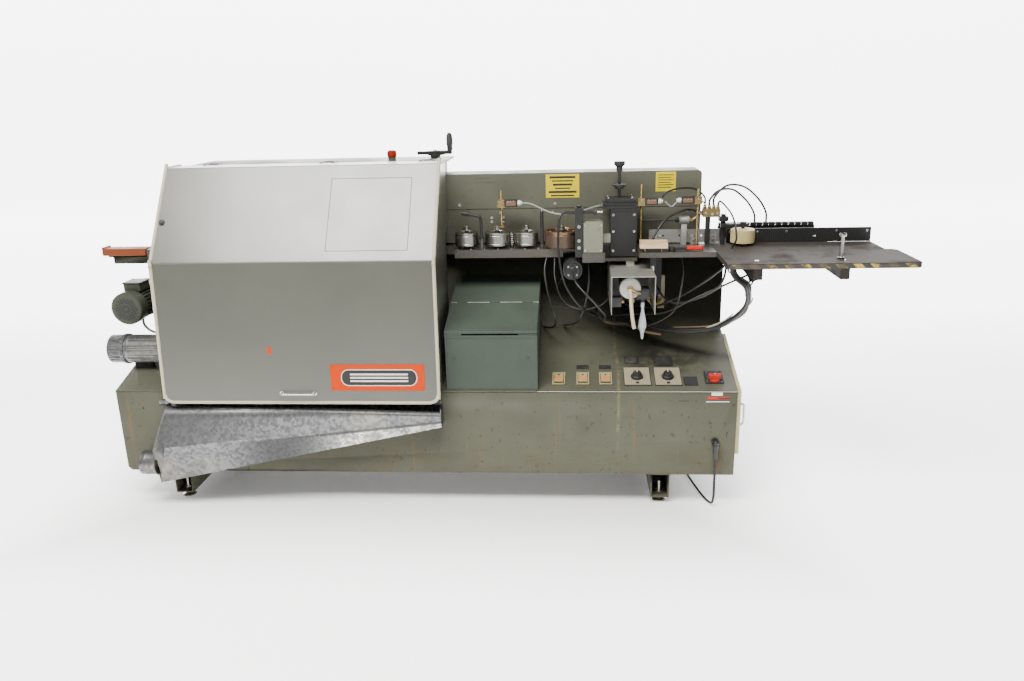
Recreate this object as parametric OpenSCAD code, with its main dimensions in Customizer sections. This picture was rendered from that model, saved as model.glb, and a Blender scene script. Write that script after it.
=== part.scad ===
// Edge banding machine: base cabinet, feed bed, pressure beam, glue unit, trimming units under a hood.
// X runs along the feed (workpieces enter at +X), Y runs from the operator's side (-Y) to the back, Z is up.

/* [Base cabinet] */
// Length of the base cabinet (mm)
cab_len = 2247; // [2100:2400]
// Left end of the cabinet from the middle of the machine (mm)
cab_left = -1311; // [-1400:-1250]
// Height of the cabinet's underside above the floor (mm)
cab_z0 = 122; // [100:150]
// Height where the control slope starts (mm)
slope_z0 = 440; // [400:480]
// Height where the control slope meets the upper wall (mm)
slope_z1 = 561; // [520:600]
// Sheet thickness of the cabinet (mm)
sheet = 4; // [3:6]

/* [Bed and table] */
// Working height of bed and table (mm)
work_z = 898; // [880:920]
// Thickness of the bed (mm)
bed_t = 32; // [25:40]
// Thickness of the infeed table (mm)
table_t = 18; // [12:25]
// Height of the dark infeed fence (mm)
fence_h = 52; // [40:60]

/* [Pressure beam] */
// Underside of the beam when fully lowered (mm)
beam_z0 = 905; // [902:915]
// Top of the beam when fully lowered (mm)
beam_z1 = 1164; // [1140:1170]
// Right end of the beam (mm)
beam_right = 839; // [800:860]

/* [Hood] */
// Left side of the hood (mm)
hood_x0 = -1099; // [-1120:-1090]
// Right side of the hood (mm)
hood_x1 = -100; // [-110:-95]
// Height of the hood's top (mm)
hood_top = 1221; // [1215:1230]
// Sheet thickness of the hood (mm)
hood_t = 2; // [1.5:3]

/* [Rollers] */
// Radius of the first pressure roller (mm)
r1 = 43; // [40:44]
// Radius of the second pressure roller (mm)
r2 = 45; // [40:46]
// Radius of the third pressure roller (mm)
r3 = 44; // [40:45]
// Radius of the glue roller with the copper rim (mm)
r4 = 64; // [60:65]
// Radius of the roller axles (mm)
axle_r = 8; // [6:10]

/* [Dust outlets] */
// Outer radius of the dust duct (mm)
duct_r = 53.5; // [50:56]
// Outer radius of the chip chute's outlet (mm)
port_r = 44; // [40:45]

/* [Hidden] */
$fn = 48;
cab_right = cab_left + cab_len;
front = -300;
back = 390;
wall_y = 104;
cab_top = work_z - bed_t;
rise = (slope_z1 - slope_z0) / (wall_y - front);
tilt = atan(rise);
edge_y = 51;
beam_y0 = 75;
beam_y1 = 200;
spin_x = -151;
spin_y = 120;
carrier_z = 1208;
clear = 0.05;
lid_k = 55 / 185;

// the node to show, or all

module bx(x0, x1, y0, y1, z0, z1) {
  translate([x0, y0, z0]) cube([x1 - x0, y1 - y0, z1 - z0]);
}
module ex(x0, x1) {
  translate([x0, 0, 0]) rotate([90, 0, 90]) linear_extrude(x1 - x0) children();
}
module ey(y0, y1) {
  translate([0, y1, 0]) rotate([90, 0, 0]) linear_extrude(y1 - y0) children();
}
module cx(x0, x1, y, z, r) {
  translate([x0, y, z]) rotate([0, 90, 0]) cylinder(h = x1 - x0, r = r);
}
module cy(y0, y1, x, z, r) {
  translate([x, y1, z]) rotate([90, 0, 0]) cylinder(h = y1 - y0, r = r);
}
module cz(z0, z1, x, y, r) {
  translate([x, y, z0]) cylinder(h = z1 - z0, r = r);
}
// local frame on the control slope: z is the slope's normal, y runs up the slope
module on_slope(x, y) {
  translate([x, y, slope_z0 + (y - front) * rise]) rotate([tilt, 0, 0]) children();
}

// smooth tube along hand-chosen points
function mix3(a, b, t) = a + (b - a) * t;
function cr(p, i, t) = let (n = len(p) - 1, a = p[max(i - 1, 0)], b = p[i], c = p[min(i + 1, n)],
    d = p[min(i + 2, n)])
  0.5 * ((2 * b) + (c - a) * t + (2 * a - 5 * b + 4 * c - d) * t * t + (3 * b - a - 3 * c + d) * t * t * t);
function route(p, m) = concat([for (i = [0:len(p) - 2]) for (j = [0:m - 1]) cr(p, i, j / m)], [p[len(p) - 1]]);
function unit(v) = v / norm(v);
function tang(q, i) = unit(q[min(i + 1, len(q) - 1)] - q[max(i - 1, 0)]);
module hose(p, r, m = 5, n = 8, ref = [0.31, 0.93, 0.2]) {
  q = route(p, m);
  k = len(q);
  pts = [for (i = [0:k - 1]) let (t = tang(q, i), u = unit(cross(t, ref)), w = cross(t, u))
    for (j = [0:n - 1]) q[i] + r * (cos(360 * j / n) * u + sin(360 * j / n) * w)];
  side = [for (i = [0:k - 2]) for (j = [0:n - 1]) for (s = [0, 1])
    s == 0 ? [i * n + j, i * n + (j + 1) % n, (i + 1) * n + j]
    : [i * n + (j + 1) % n, (i + 1) * n + (j + 1) % n, (i + 1) * n + j]];
  ends = [for (j = [1:n - 2]) for (s = [0, 1])
    s == 0 ? [0, j + 1, j] : [(k - 1) * n, (k - 1) * n + j, (k - 1) * n + j + 1]];
  polyhedron(points = pts, faces = concat(side, ends), convexity = 6);
}

module cabinet() {
  color([0.48, 0.48, 0.42]) difference() {
    union() {
      ex(cab_left, cab_right) polygon([[front, cab_z0], [front, slope_z0], [wall_y, slope_z1],
        [wall_y, cab_top], [back, cab_top], [back, cab_z0]]);
      for (z = [300, 480]) {
        bx(cab_right, cab_right + 14, 83, 88, z, z + 12);
        cz(z, z + 12, cab_right + 14, 80, 5);
        cz(z - 20, z + 32, cab_right + 14, 80, 2);
      }
      for (x = [-1146, 645]) skid(x);
      // bracket of the outfeed bar
      bx(-1470, cab_left, 104, 116, 833, 872);
      bx(-1470, -1320, 70, 104, 866, 872);
    }
    ex(cab_left + 25, cab_right - sheet) polygon([[front + sheet, cab_z0 + sheet],
      [front + sheet, slope_z0 - 3], [wall_y + sheet, slope_z1 - 3], [wall_y + sheet, cab_top - sheet],
      [back - sheet, cab_top - sheet], [back - sheet, cab_z0 + sheet]]);
    // chamfered lower left corner
    translate([cab_left, 0, cab_z0]) rotate([0, 45, 0]) cube([20, 1600, 20], center = true);
    // doorway in the right end
    bx(cab_right - 10, cab_right + 1, -270, 60, 220, 415);
    // service opening in the back
    bx(-500, 500, back - 30, back, 200, 700);
    cy(front - 1, front + 10, 866, 252, 8);
    for (y = [-200, 200]) for (x = [-1114, 678]) cz(cab_z0 - 1, cab_z0 + 10, x, y, 6);
    for (x = [-1260, 890]) for (y = [-250, 320]) cz(cab_z0 - 1, cab_z0 + 10, x, y, 9);
  }
}
module skid(x) {
  difference() {
    bx(x, x + 67, -283, 360, 22, cab_z0);
    bx(x + 5, x + 62, -284, 361, 27, cab_z0 - 5);
    for (y = [-250, 325]) cz(20, 28, x + 33.5, y, 8);
  }
}
module levelling_feet() {
  color([0.6, 0.58, 0.5]) for (x = [-1112.5, 678.5]) for (y = [-250, 325]) {
    cz(0, 8, x, y, 26);
    cz(8, 75, x, y, 7.9);
    cz(27, 38, x, y, 13);
    cz(10, 22, x, y, 13);
  }
}
module bed() {
  color([0.33, 0.33, 0.31]) difference() {
    union() {
      bx(-1300, cab_right - 6, edge_y, 360, cab_top, work_z);
      bx(cab_right - 6, 1300, edge_y, 240, work_z - 18, work_z);
      cz(work_z, work_z + 17, 716, -108, 4);
      bx(400, 600, -45, edge_y, 852, 864);
      bx(598, 860, -30, edge_y, 864, 880);
      bx(600, 870, -130, edge_y, 880, work_z);
      bx(404, 480, -122, edge_y, 864, work_z);
      bx(404, 600, 20, edge_y, 864, 868);
    }
    bx(-1240, 1260, 95, 175, work_z - 14, work_z + 1);
    for (x = [-1030, -165, 635]) for (y = [250, 285]) cz(work_z - 10, work_z + 1, x, y, 5);
  }
}
module portal() {
  color([0.4, 0.41, 0.37]) difference() {
    union() {
      for (x = [-1060, -195]) {
        bx(x, x + 60, 232, 300, work_z, carrier_z);
        bx(x - 15, x + 75, 225, 320, work_z, work_z + 10);
      }
      bx(605, 665, 232, 300, work_z, 1150);
      bx(590, 680, 225, 320, work_z, work_z + 10);
      bx(-1090, -106, 34, 300, carrier_z, carrier_z + 8);
      for (x = [-1000, -560, -190]) {
        bx(x, x + 60, 26, 60, carrier_z + 8, carrier_z + 11);
        cx(x + 14, x + 46, 20, hood_top + 1, 4);
        bx(x + 14, x + 46, 20, 30, carrier_z + 10, carrier_z + 14);
      }
      cz(carrier_z + 8, carrier_z + 14, spin_x, spin_y, 22);
      cz(carrier_z + 8, carrier_z + 24, -317, spin_y, 15);
    }
    cz(carrier_z - 1, carrier_z + 20, spin_x, spin_y, 10 + clear);
    cz(carrier_z + 8, carrier_z + 25, -317, spin_y, 5 + clear);
    for (x = [-1000, -560, -190]) cx(x - 1, x + 61, 20, hood_top + 1, 2 + clear);
  }
}
module feed_chain() {
  color([0.12, 0.12, 0.12]) {
    bx(-1238, 1258, 110, 160, work_z - 14, work_z - 6);
    for (i = [0:49]) bx(-1232 + i * 50, -1192 + i * 50, 98, 172, work_z - 6, work_z + 2);
  }
}
module infeed_table() {
  color([0.36, 0.34, 0.3]) {
    translate([0, 0, work_z - table_t]) linear_extrude(table_t)
      polygon([[871, -347], [1476, -347], [1490, -333], [1490, -117], [1476, -103], [1453, -103],
        [1453, edge_y], [871, edge_y]]);
    for (x = [960, 1240]) bx(x, x + 30, -320, 200, work_z - 60, work_z - table_t);
    bx(936, 1300, 104, 140, work_z - 60, work_z - table_t);
  }
}
module infeed_fence() {
  color([0.13, 0.13, 0.12]) {
    difference() {
      bx(1030, 1453, edge_y, 57, work_z, work_z + fence_h);
      bx(1244, 1258, edge_y - 1, 60, work_z + 20, work_z + 24);
    }
    bx(933, 1030, 54, 57, work_z, work_z + fence_h);
    bx(933, 1453, 57, 75, work_z, work_z + 6);
    bx(921, 1284, 176, 180, work_z, work_z + 44);
    for (i = [0:14]) bx(923 + i * 24, 943 + i * 24, 168, 188, work_z + 44, work_z + 56);
    cz(work_z, work_z + 80, 1251, -275, 5);
    cz(work_z + 74, work_z + 87, 1251, -275, 10);
    cz(work_z, work_z + 6, 1251, -275, 12);
  }
}
module alu_fence() {
  color([0.66, 0.67, 0.64]) difference() {
    union() {
      bx(648, 906, 44, 50, work_z + 5, work_z + 54);
      for (x = [668, 800, 870]) bx(x, x + 24, 34, 44, work_z, work_z + 30);
    }
    for (x = [700, 760, 840]) cy(40, 52, x, work_z + 30, 4);
  }
}
module fence_post() {
  color([0.12, 0.12, 0.12]) {
    cz(work_z, work_z + 111, 914, 24, 9);
    bx(898, 930, 8, 40, work_z + 86, work_z + 102);
    bx(902, 1000, -4, 18, work_z + 66, work_z + 78);
    cz(work_z, work_z + 66, 983, 7, 6);
    cz(work_z, work_z + 5, 983, 7, 16);
    cz(work_z + 78, work_z + 84, 983, 7, 11);
  }
}
module roller_plate() {
  color([0.3, 0.3, 0.28]) {
    bx(-70, 398, -45, edge_y, 890, work_z + 1);
    bx(-70, 330, -45, 40, 869, 890);
    for (p = [[-29, 49 - r1], [85, 49 - r2], [195, 49 - r3], [326, 49 - r4]]) {
      cz(work_z + 1, work_z + 70, p[0], p[1], axle_r);
      cz(work_z + 1, work_z + 5, p[0], p[1], 14);
      cz(work_z + 66.5, work_z + 76, p[0], p[1], 11);
    }
    cz(work_z + 1, work_z + 40, 30, -30, 9);
    cz(work_z + 1, work_z + 140, 253, -22, 4);
    cz(work_z + 1, work_z + 16, 253, -22, 8);
    cz(work_z + 1, work_z + 48, 140, 6, 4);
    for (i = [0:5]) cz(work_z + 4 + i * 7, work_z + 8 + i * 7, 140, 6, 7);
  }
}
module glue_cartridge() {
  color([0.08, 0.08, 0.09]) difference() {
    union() {
      bx(502, 597, -40, 42, 868, 1043);
      bx(478, 594, -42, 48, 1043, 1060);
      bx(486, 588, -36, 44, 1060, 1078);
    }
    cz(900, 1080, 534, 2, 6 + clear);
  }
}
module glue_box() {
  color([0.55, 0.57, 0.5]) {
    bx(404, 472, -120, -50, work_z, 1004);
    bx(410, 466, -114, -56, 1004, 1008);
    bx(472, 500, -100, -70, 930, 960);
  }
}
module glue_tower() {
  color([0.1, 0.1, 0.1]) {
    bx(374, 403, -112, -82, 902, 1056);
    bx(340, 440, -106, -90, 1034, 1046);
    bx(374, 404, -112, -60, 880, 902);
  }
}
module glue_motor() {
  color([0.09, 0.09, 0.09]) {
    cy(-110, 30, 365, 832, 31);
    for (i = [0:6]) cy(-108 + i * 16, -100 + i * 16, 365, 832, 35);
    cy(-120, -110, 365, 832, 26);
    bx(345, 385, 20, 104, 812, 852);
  }
}
module cover_box() {
  color([0.66, 0.67, 0.62]) {
    bx(499, 651, -237, wall_y, 833, 835);
    bx(499, 501, -237, wall_y, 700, 833);
    bx(649, 651, -237, wall_y, 700, 833);
    bx(560, 590, -40, 40, 835, 852);
  }
}
module pump_motor() {
  color([0.5, 0.51, 0.47]) {
    cy(-200, -60, 565, 788, 33);
    cy(-210, -200, 565, 788, 38);
    cy(-216, -210, 565, 788, 10);
    bx(550, 580, -150, -100, 815, 833);
    bx(512, 534, -205, -175, 722, 752);
    bx(501, 512, -200, -180, 730, 744);
    cz(660, 715, 603, -200, 13);
    cz(640, 660, 603, -200, 10);
    cz(602, 640, 603, -200, 6);
    cz(715, 833, 603, -200, 5);
  }
}
module wood_block() {
  color([0.75, 0.62, 0.45]) {
    bx(603, 700, -128, -84, work_z + 14, work_z + 39);
    bx(620, 680, -120, -92, work_z, work_z + 14);
  }
}
module switch_rods() {
  color([0.6, 0.5, 0.25]) {
    bx(74, 112, 0, 20, work_z + 76, work_z + 80);
    cz(work_z + 80, 1112, 103, 10, 4);
    cz(work_z, 1122, 615, 10, 4);
    cz(work_z, 1104, 818, 10, 4);
    for (p = [[615, 10], [818, 10]]) cz(work_z, work_z + 8, p[0], p[1], 9);
  }
}
module limit_switches() {
  color([0.14, 0.14, 0.15]) difference() {
    union() {
      bx(86, 181, -4, 22, 1047, 1078);
      bx(607, 703, -4, 22, 1046, 1075);
      bx(738, 828, -4, 22, 1049, 1077);
    }
    for (x = [103, 615, 818]) cz(1040, 1085, x, 10, 4 + clear);
  }
}
module cylinder_body() {
  color([0.62, 0.62, 0.6]) difference() {
    union() {
      cx(753, 791, 20, 990, 15.5);
      bx(762, 782, 12, 28, work_z, 980);
    }
    cx(752, 786, 20, 990, 4 + clear);
  }
}
module air_fittings() {
  color([0.72, 0.6, 0.3]) {
    bx(850, 866, 12, 32, work_z, 1000);
    bx(838, 900, 8, 40, 1000, 1030);
    for (x = [846, 862, 878, 893]) cz(1030, 1040, x, 24, 6);
    cx(826, 838, 24, 1014, 6);
    cy(-4, 8, 870, 1014, 6);
    for (x = [1065, 1108]) cz(work_z, 948, x, 205, 7);
  }
}
bundle = [[905, -240, 875], [909, -240, 850], [920, -240, 830], [960, -232, 790], [962, -215, 720], [900, -180, 650],
  [820, -130, 612], [700, -60, 600], [600, 20, 622], [540, 80, 650]];
module air_hoses() {
  color([0.07, 0.07, 0.07]) {
    hose([[862, 24, 1042], [864, 28, 1062], [900, 60, 1090], [960, 110, 1086], [1020, 160, 1040],
      [1060, 200, 985], [1065, 205, 950]], 4, 4);
    hose([[878, 24, 1042], [880, 28, 1070], [930, 70, 1106], [1000, 120, 1096], [1065, 170, 1046],
      [1104, 200, 990], [1108, 205, 950]], 4, 4);
    hose([[846, 24, 1042], [844, 34, 1072], [808, 40, 1100], [750, 24, 1104], [704, 6, 1092], [690, 5, 1079]], 3.5, 4);
    hose([[893, 24, 1042], [900, 10, 1056], [935, -40, 1010], [945, -80, 940], [932, -70, 903]], 3.5, 4);
    hose([[824, 24, 1014], [798, 24, 1026], [760, 5, 1024], [700, -30, 1000], [655, -60, 940],
      [645, -62, 902]], 4, 4);
    for (d = [[0, 0, 0, 9], [8, 18, 0, 7], [-7, -15, 0, 5]])
      hose([for (b = bundle) b + [d[0], d[1], d[2]]], d[3], 5, 10);
    hose([[890, -130, 876], [902, -146, 848], [880, -150, 780], [800, -110, 720], [720, -60, 700],
      [680, 40, 740], [676, 98, 780]], 4, 4);
    hose([[365, -121.5, 832], [380, -190, 800], [440, -220, 740], [480, -180, 680], [470, -60, 640],
      [440, 98, 660]], 4, 4);
    hose([[337, -98, 1040], [318, -114, 1016], [316, -140, 900], [340, -170, 790], [400, -150, 700],
      [420, 0, 690], [400, 98, 720]], 4, 4);
    hose([[181.2, 9, 1062], [215, 2, 1058], [300, -50, 1030], [380, -70, 1036], [440, -44, 1050],
      [477.5, -10, 1052]], 3, 4);
  }
}
function lid_z(y) = 645 + (y + 295) * lid_k;
module toolbox() {
  color([0.36, 0.43, 0.4]) difference() {
    ex(-83, 241) polygon([[-295, 441.5], [-295, 645], [-110, lid_z(-110)], [-110, lid_z(-110) + 16],
      [wall_y, 774], [wall_y, slope_z1], [-295, 441.5]]);
    ex(-81, 239) polygon([[-293, 444.5], [-293, 700], [-112, 750], [-112, lid_z(-110) - 2], [-108, lid_z(-110) - 2],
      [-108, lid_z(-110) + 13.8], [wall_y - 2, 771], [wall_y - 2, slope_z1 + 1.5]]);
    for (x = [-60, 60, 180]) cx(x - 1, x + 41, -110, 716.5, 3.6);
  }
}
module box_lid() {
  color([0.36, 0.43, 0.4]) {
    difference() {
      ex(-83, 241) polygon([[-298, 645], [-298, 661], [-111, lid_z(-111) + 16.4], [-111, lid_z(-111) + 0.5],
        [-295, 645.5]]);
      ex(-80, 238) polygon([[-295, 640], [-295, 658.7], [-114, lid_z(-114) + 13], [-114, 690]]);
      bx(-23, 176, -300, -294, 640, 651);
    }
    for (x = [-60, 60, 180]) cx(x, x + 40, -110, 716.5, 3);
  }
}
module panel_plates() {
  color([0.12, 0.12, 0.12]) {
    for (x = [593.5, 702]) on_slope(x, -216) difference() {
      translate([-48, -55, 0]) cube([96, 110, 3]);
      translate([0, -4, -1]) cylinder(h = 5, r = 6);
    }
    on_slope(863, -223) difference() {
      translate([-32, -37, 0]) cube([64, 75, 4]);
      translate([0, -20, -1]) cylinder(h = 6, r = 8);
    }
    on_slope(579, -117) translate([-26, -22, 0]) cube([52, 44, 2]);
    on_slope(694, -124) translate([-34, -28, 0]) cube([67, 60, 2]);
    on_slope(781, -243) translate([-25, -26, 0]) cube([49, 52, 2]);
    for (x = [400, 481]) on_slope(x, -160) translate([-22, -12, 0]) cube([44, 24, 1.5]);
    for (x = [314, 400, 481]) on_slope(x, -233) difference() {
      translate([-23, -35, 0]) cube([46, 70, 8]);
      translate([-18, -30, -1]) cube([36, 60, 10]);
    }
  }
}
module rocker(x) {
  color([0.85, 0.4, 0.15]) on_slope(x, -233) translate([-17, 0, 4]) rotate([-8, 0, 0])
    union() {
      ex(0, 34) polygon([[-28, 2], [0, -3], [28, 2], [28, 8], [0, 5], [-28, 8]]);
      cx(-0.7, 34.7, 0, 0, 2);
    }
}
module rocker_1() { rocker(314); }
module rocker_2() { rocker(400); }
module rocker_3() { rocker(481); }
module knob(x) {
  color([0.07, 0.07, 0.07]) on_slope(x, -216) translate([0, -4, 0]) {
    translate([0, 0, 0.5]) cylinder(h = 8, r = 5.7);
    translate([0, 0, 3.3]) cylinder(h = 8, r = 20);
    translate([0, 0, 11.3]) cylinder(h = 12, r = 14);
    translate([-3, 2, 23.3]) cube([6, 11, 2]);
  }
}
module knob_1() { knob(593.5); }
module knob_2() { knob(702); }
module main_knob() {
  color([0.75, 0.08, 0.05]) on_slope(863, -223) translate([0, -20, 0]) {
    translate([0, 0, 0.5]) cylinder(h = 8, r = 7.7);
    translate([0, 0, 4.3]) cylinder(h = 8, r = 17);
    translate([-22, -7, 12.3]) cube([44, 14, 18]);
  }
}
module chute() {
  color([0.6, 0.62, 0.63]) {
    difference() {
      hull() {
        ex(-1158, -1157) polygon([[front - 0.5, 100], [front - 0.5, 240], [-386, 240], [-360, 100]]);
        ex(-1108, -1107) polygon([[front - 0.5, 397], [-345, 397], [-360, 358], [-390, 252]]);
        ex(-101, -100) polygon([[front - 0.5, 322], [front - 0.5, 388], [-345, 388], [-360, 358], [-352, 322]]);
      }
      hull() {
        ex(-1155, -1154) polygon([[front - 3, 103], [front - 3, 240], [-383, 240], [-358, 103]]);
        ex(-1106, -1105) polygon([[front - 3, 400], [-342, 400], [-357, 358], [-387, 252]]);
        ex(-104, -103) polygon([[front - 3, 325], [front - 3, 400], [-342, 400], [-357, 358], [-350, 325]]);
      }
      cx(-1170, -1150, -346, 176, port_r - 3);
    }
    difference() {
      cx(-1218, -1157.5, -345.5, 176, port_r);
      cx(-1220, -1150, -345.5, 176, port_r - 2);
    }
    for (x = [-1050, -620, -200]) bx(x, x + 40, front - 1, front, 360, 386);
  }
}
module dust_duct() {
  color([0.62, 0.64, 0.65]) difference() {
    union() {
      cx(-1379, -1000, -150, 555.5, duct_r);
      cx(-1326, -1316, -150, 555.5, duct_r + 4);
      bx(-1080, -1010, -160, -140, 483, 504);
      bx(-1300, -1230, -160, -140, 483, 504);
      bx(-1000, -880, -190, -60, 515, 640);
    }
    cx(-1380, -990, -150, 555.5, duct_r - 2);
    bx(-998, -882, -188, -62, 530, 641);
    ex(-1310, -1000) polygon([[-165, 400], [-165, slope_z0 + 135 * rise], [-135, slope_z0 + 165 * rise],
      [-135, 400]]);
    ex(-1001, -879) polygon([[-200, 400], [-200, slope_z0 + 100 * rise], [-50, slope_z0 + 250 * rise],
      [-50, 400]]);
  }
}
module side_motor() {
  color([0.5, 0.55, 0.47]) {
    bx(-1425, cab_left, 100, 230, 620, 750);
    cy(-45, 100, -1360, 685, 58);
    cy(-62, -45, -1360, 685, 63);
    for (i = [0:11]) rotate_about(i * 30) bx(-1362, -1358, -40, 90, 741, 750);
    bx(-1390, -1330, 10, 80, 740, 775);
  }
}
module rotate_about(a) {
  translate([-1360, 0, 685]) rotate([0, a, 0]) translate([1360, 0, -685]) children();
}
module outfeed_bar() {
  color([0.5, 0.2, 0.1]) {
    bx(-1490, -1312, 62, 118, 872, work_z + 2);
    bx(-1490, -1480, 62, 118, work_z + 2, work_z + 8);
  }
}
module cord_gland() {
  color([0.06, 0.06, 0.06]) {
    cy(-302, front + 12, 866, 252, 7.9);
    cy(-308, front, 866, 252, 14);
    cy(-319, -308, 866, 252, 10);
    translate([866, -319, 252]) sphere(r = 10);
    cz(192, 252, 866, -319, 8);
    cz(222, 246, 866, -319, 10);
  }
}
cord_pts = [[866, -319, 192], [866, -319, 110], [866, -316, 40], [860, -292, 8], [836, -210, 5],
  [800, 0, 5], [770, 240, 5], [730, 400, 5], [640, 530, 5], [540, 585, 5], [462, 588, 5]];
tail_pts = [[398, 588, 50], [375, 588, 43], [350, 588, 28], [336, 588, 22.4], [327, 588, 22]];
module power_cord() {
  color([0.05, 0.05, 0.05]) {
    hose(cord_pts, 4.5, 5, 8, [0.95, 0.2, 0.24]);
    hose(tail_pts, 4.5, 4, 8, [0.1, 0.95, 0.2]);
  }
}
module cord_coil() {
  color([0.05, 0.05, 0.05]) difference() {
    cz(0.5, 56, 430, 640, 57);
    cz(0, 57, 430, 640, 47);
  }
}
module plug() {
  color([0.06, 0.06, 0.06]) {
    cx(246, 308, 588, 22, 22);
    cx(308, 326, 588, 22, 12);
    for (a = [0:4]) translate([0, 588, 22]) rotate([a * 72, 0, 0]) cx(231, 246, 0, 12, 2.5);
  }
}
module trim_units() {
  color([0.42, 0.45, 0.42]) {
    // end saw motor below the bed
    bx(-345, -255, 84, wall_y, 640, 860);
    bx(-325, -275, 25, 84, 700, 790);
    difference() {
      cz(660, 810, -300, -20, 50);
      cz(780, 811, -300, -20, 10 + clear);
    }
    bx(-330, -270, -78, -68, 700, 770);
    // edge trimmer hanging from its post
    bx(-630, -570, -20, edge_y, 866, work_z);
    bx(-625, -575, -150, -20, 872, 892);
    bx(-620, -580, -150, -120, 892, 1090);
    bx(-620, -580, -120, -90, 1000, 1060);
    difference() {
      cz(960, 1110, -600, -45, 50);
      cz(959, 990, -600, -45, 10 + clear);
    }
    // scraper post
    bx(-460, -420, -60, edge_y, 878, work_z);
    bx(-455, -425, -60, -20, work_z, 990);
    bx(-452, -428, -20, 46, 930, 944);
    // polishing head
    bx(-905, -815, 84, wall_y, 640, 860);
    bx(-885, -835, -60, 84, 780, 850);
    bx(-880, -840, -40, 44, 850, 866);
  }
}
module saw_blade() {
  color([0.6, 0.6, 0.6]) {
    cz(784, 858, -300, -20, 10);
    cz(810.5, 850, -300, -20, 14);
    cz(850, 853, -300, -20, 68);
    cz(853, 860, -300, -20, 16);
  }
}
module trim_cutter() {
  color([0.6, 0.6, 0.6]) {
    cz(908, 986, -600, -45, 10);
    cz(936, 959, -600, -45, 14);
    difference() {
      cz(908, 936, -600, -45, 40);
      for (a = [0:3]) translate([-600, -45, 0]) rotate([0, 0, a * 90]) bx(30, 45, 0, 8, 900, 940);
    }
  }
}
module stop_button() {
  color([0.7, 0.07, 0.05]) {
    cz(carrier_z + 13, carrier_z + 29, -317, spin_y, 5);
    cz(carrier_z + 29, carrier_z + 47, -317, spin_y, 18);
  }
}
module beam() {
  color([0.48, 0.49, 0.42]) difference() {
    union() {
      ey(beam_y0, beam_y1) union() {
        polygon([[-1075, beam_z0], [-1075, beam_z1], [beam_right - 15, beam_z1], [beam_right - 15, beam_z1 - 15],
          [beam_right, beam_z1 - 15], [beam_right, beam_z0]]);
        translate([beam_right - 15, beam_z1 - 15]) circle(r = 15);
      }
      for (x = [-1060, -195, 605]) bx(x, x + 60, beam_y1, 231, 960, 1120);
    }
    difference() {
      bx(-1072, beam_right - 3, beam_y0 + 3, beam_y1 + 1, beam_z0 + 3, beam_z1 - 16);
      bx(spin_x - 30, spin_x + 30, beam_y0, beam_y1, beam_z0, beam_z1);
      for (x = [-1060, -195, 605]) bx(x, x + 60, beam_y0, 231, 900, 1200);
    }
    cz(beam_z0 - 1, beam_z1 + 1, spin_x, spin_y, 10.5);
  }
}
module handwheel() {
  color([0.08, 0.08, 0.08]) {
    cz(960, 1236, spin_x, spin_y, 10);
    cz(carrier_z + 14.5, 1236, spin_x, spin_y, 18);
    cz(1236, 1250, spin_x, spin_y, 16);
    bx(spin_x - 60, spin_x + 56, spin_y - 9, spin_y + 9, 1236, 1246);
    cz(1236, 1312, spin_x + 56, spin_y, 5);
    cz(1236, 1248, spin_x + 56, spin_y, 9);
    cz(1236, 1247, spin_x - 58, spin_y, 11);
    cz(1311, 1314, spin_x + 56, spin_y, 8);
  }
}
module crank_grip() {
  color([0.05, 0.05, 0.05]) difference() {
    cz(1249, 1310.5, spin_x + 56, spin_y, 12);
    cz(1248, 1311, spin_x + 56, spin_y, 5 + clear);
  }
}
module skin(t) {
  polygon([[10, hood_top], [-109, hood_top], [-321, 915], [-359, 416], [-359 + t, 416], [-321 + t, 915 - t / 4],
    [-109 + t * 0.6, hood_top - t], [10, hood_top - t]]);
}
module hood_shell() {
  color([0.52, 0.53, 0.46]) {
    ex(hood_x0, hood_x1) skin(hood_t);
    ex(hood_x1 - hood_t, hood_x1) polygon([[10, hood_top - 1], [-108, hood_top - 1], [-320, 915], [-358, 418],
      [-306, 418], [-306, 446], [-300, 446], [-55, 519], [-55, 960], [10, 990]]);
    ex(hood_x0, hood_x0 + hood_t) polygon([[10, hood_top - 1], [-108, hood_top - 1], [-320, 915], [-358, 418],
      [-306, 418], [-306, 446], [-300, 446], [-215, 471], [-215, 640], [-55, 700], [-55, 960], [10, 990]]);
    for (x = [-1000, -560, -190]) {
      for (s = [0, 47]) {
        cx(x + s, x + s + 13, 20, hood_top + 1, 4);
        bx(x + s, x + s + 13, 5, 20, hood_top, hood_top + 2);
      }
      cx(x, x + 60, 20, hood_top + 1, 2);
    }
  }
}
module hood_trim() {
  color([0.7, 0.67, 0.57]) {
    ex(hood_x1, hood_x1 + 4) polygon([[10, hood_top + 2], [-109, hood_top + 2], [-323, 916], [-361, 413],
      [-348, 413], [-311, 912], [-103, hood_top - 10], [10, hood_top - 10]]);
    ex(hood_x0 - 4, hood_x0) polygon([[10, hood_top + 2], [-109, hood_top + 2], [-323, 916], [-361, 413],
      [-348, 413], [-311, 912], [-103, hood_top - 10], [10, hood_top - 10]]);
    bx(hood_x0, hood_x1, -361, -357, 411, 416);
  }
}
module hood_handle() {
  color([0.55, 0.55, 0.52]) {
    cx(-666, -541, -371, 452, 3);
    for (x = [-663, -544]) {
      cy(-371, -357, x, 452, 3);
      cy(-359.4, -357, x, 452, 7);
    }
    translate([-1077, -232.1, 1044.3]) rotate([55.3, 0, 0]) cylinder(h = 6, r = 9);
  }
}
module hood_badge() {
  color([0.85, 0.3, 0.12]) translate([0, -355.55, 462]) rotate([-4.355, 0, 0])
    translate([-484, -1.5, 0]) cube([334, 1.5, 94]);
}
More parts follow.
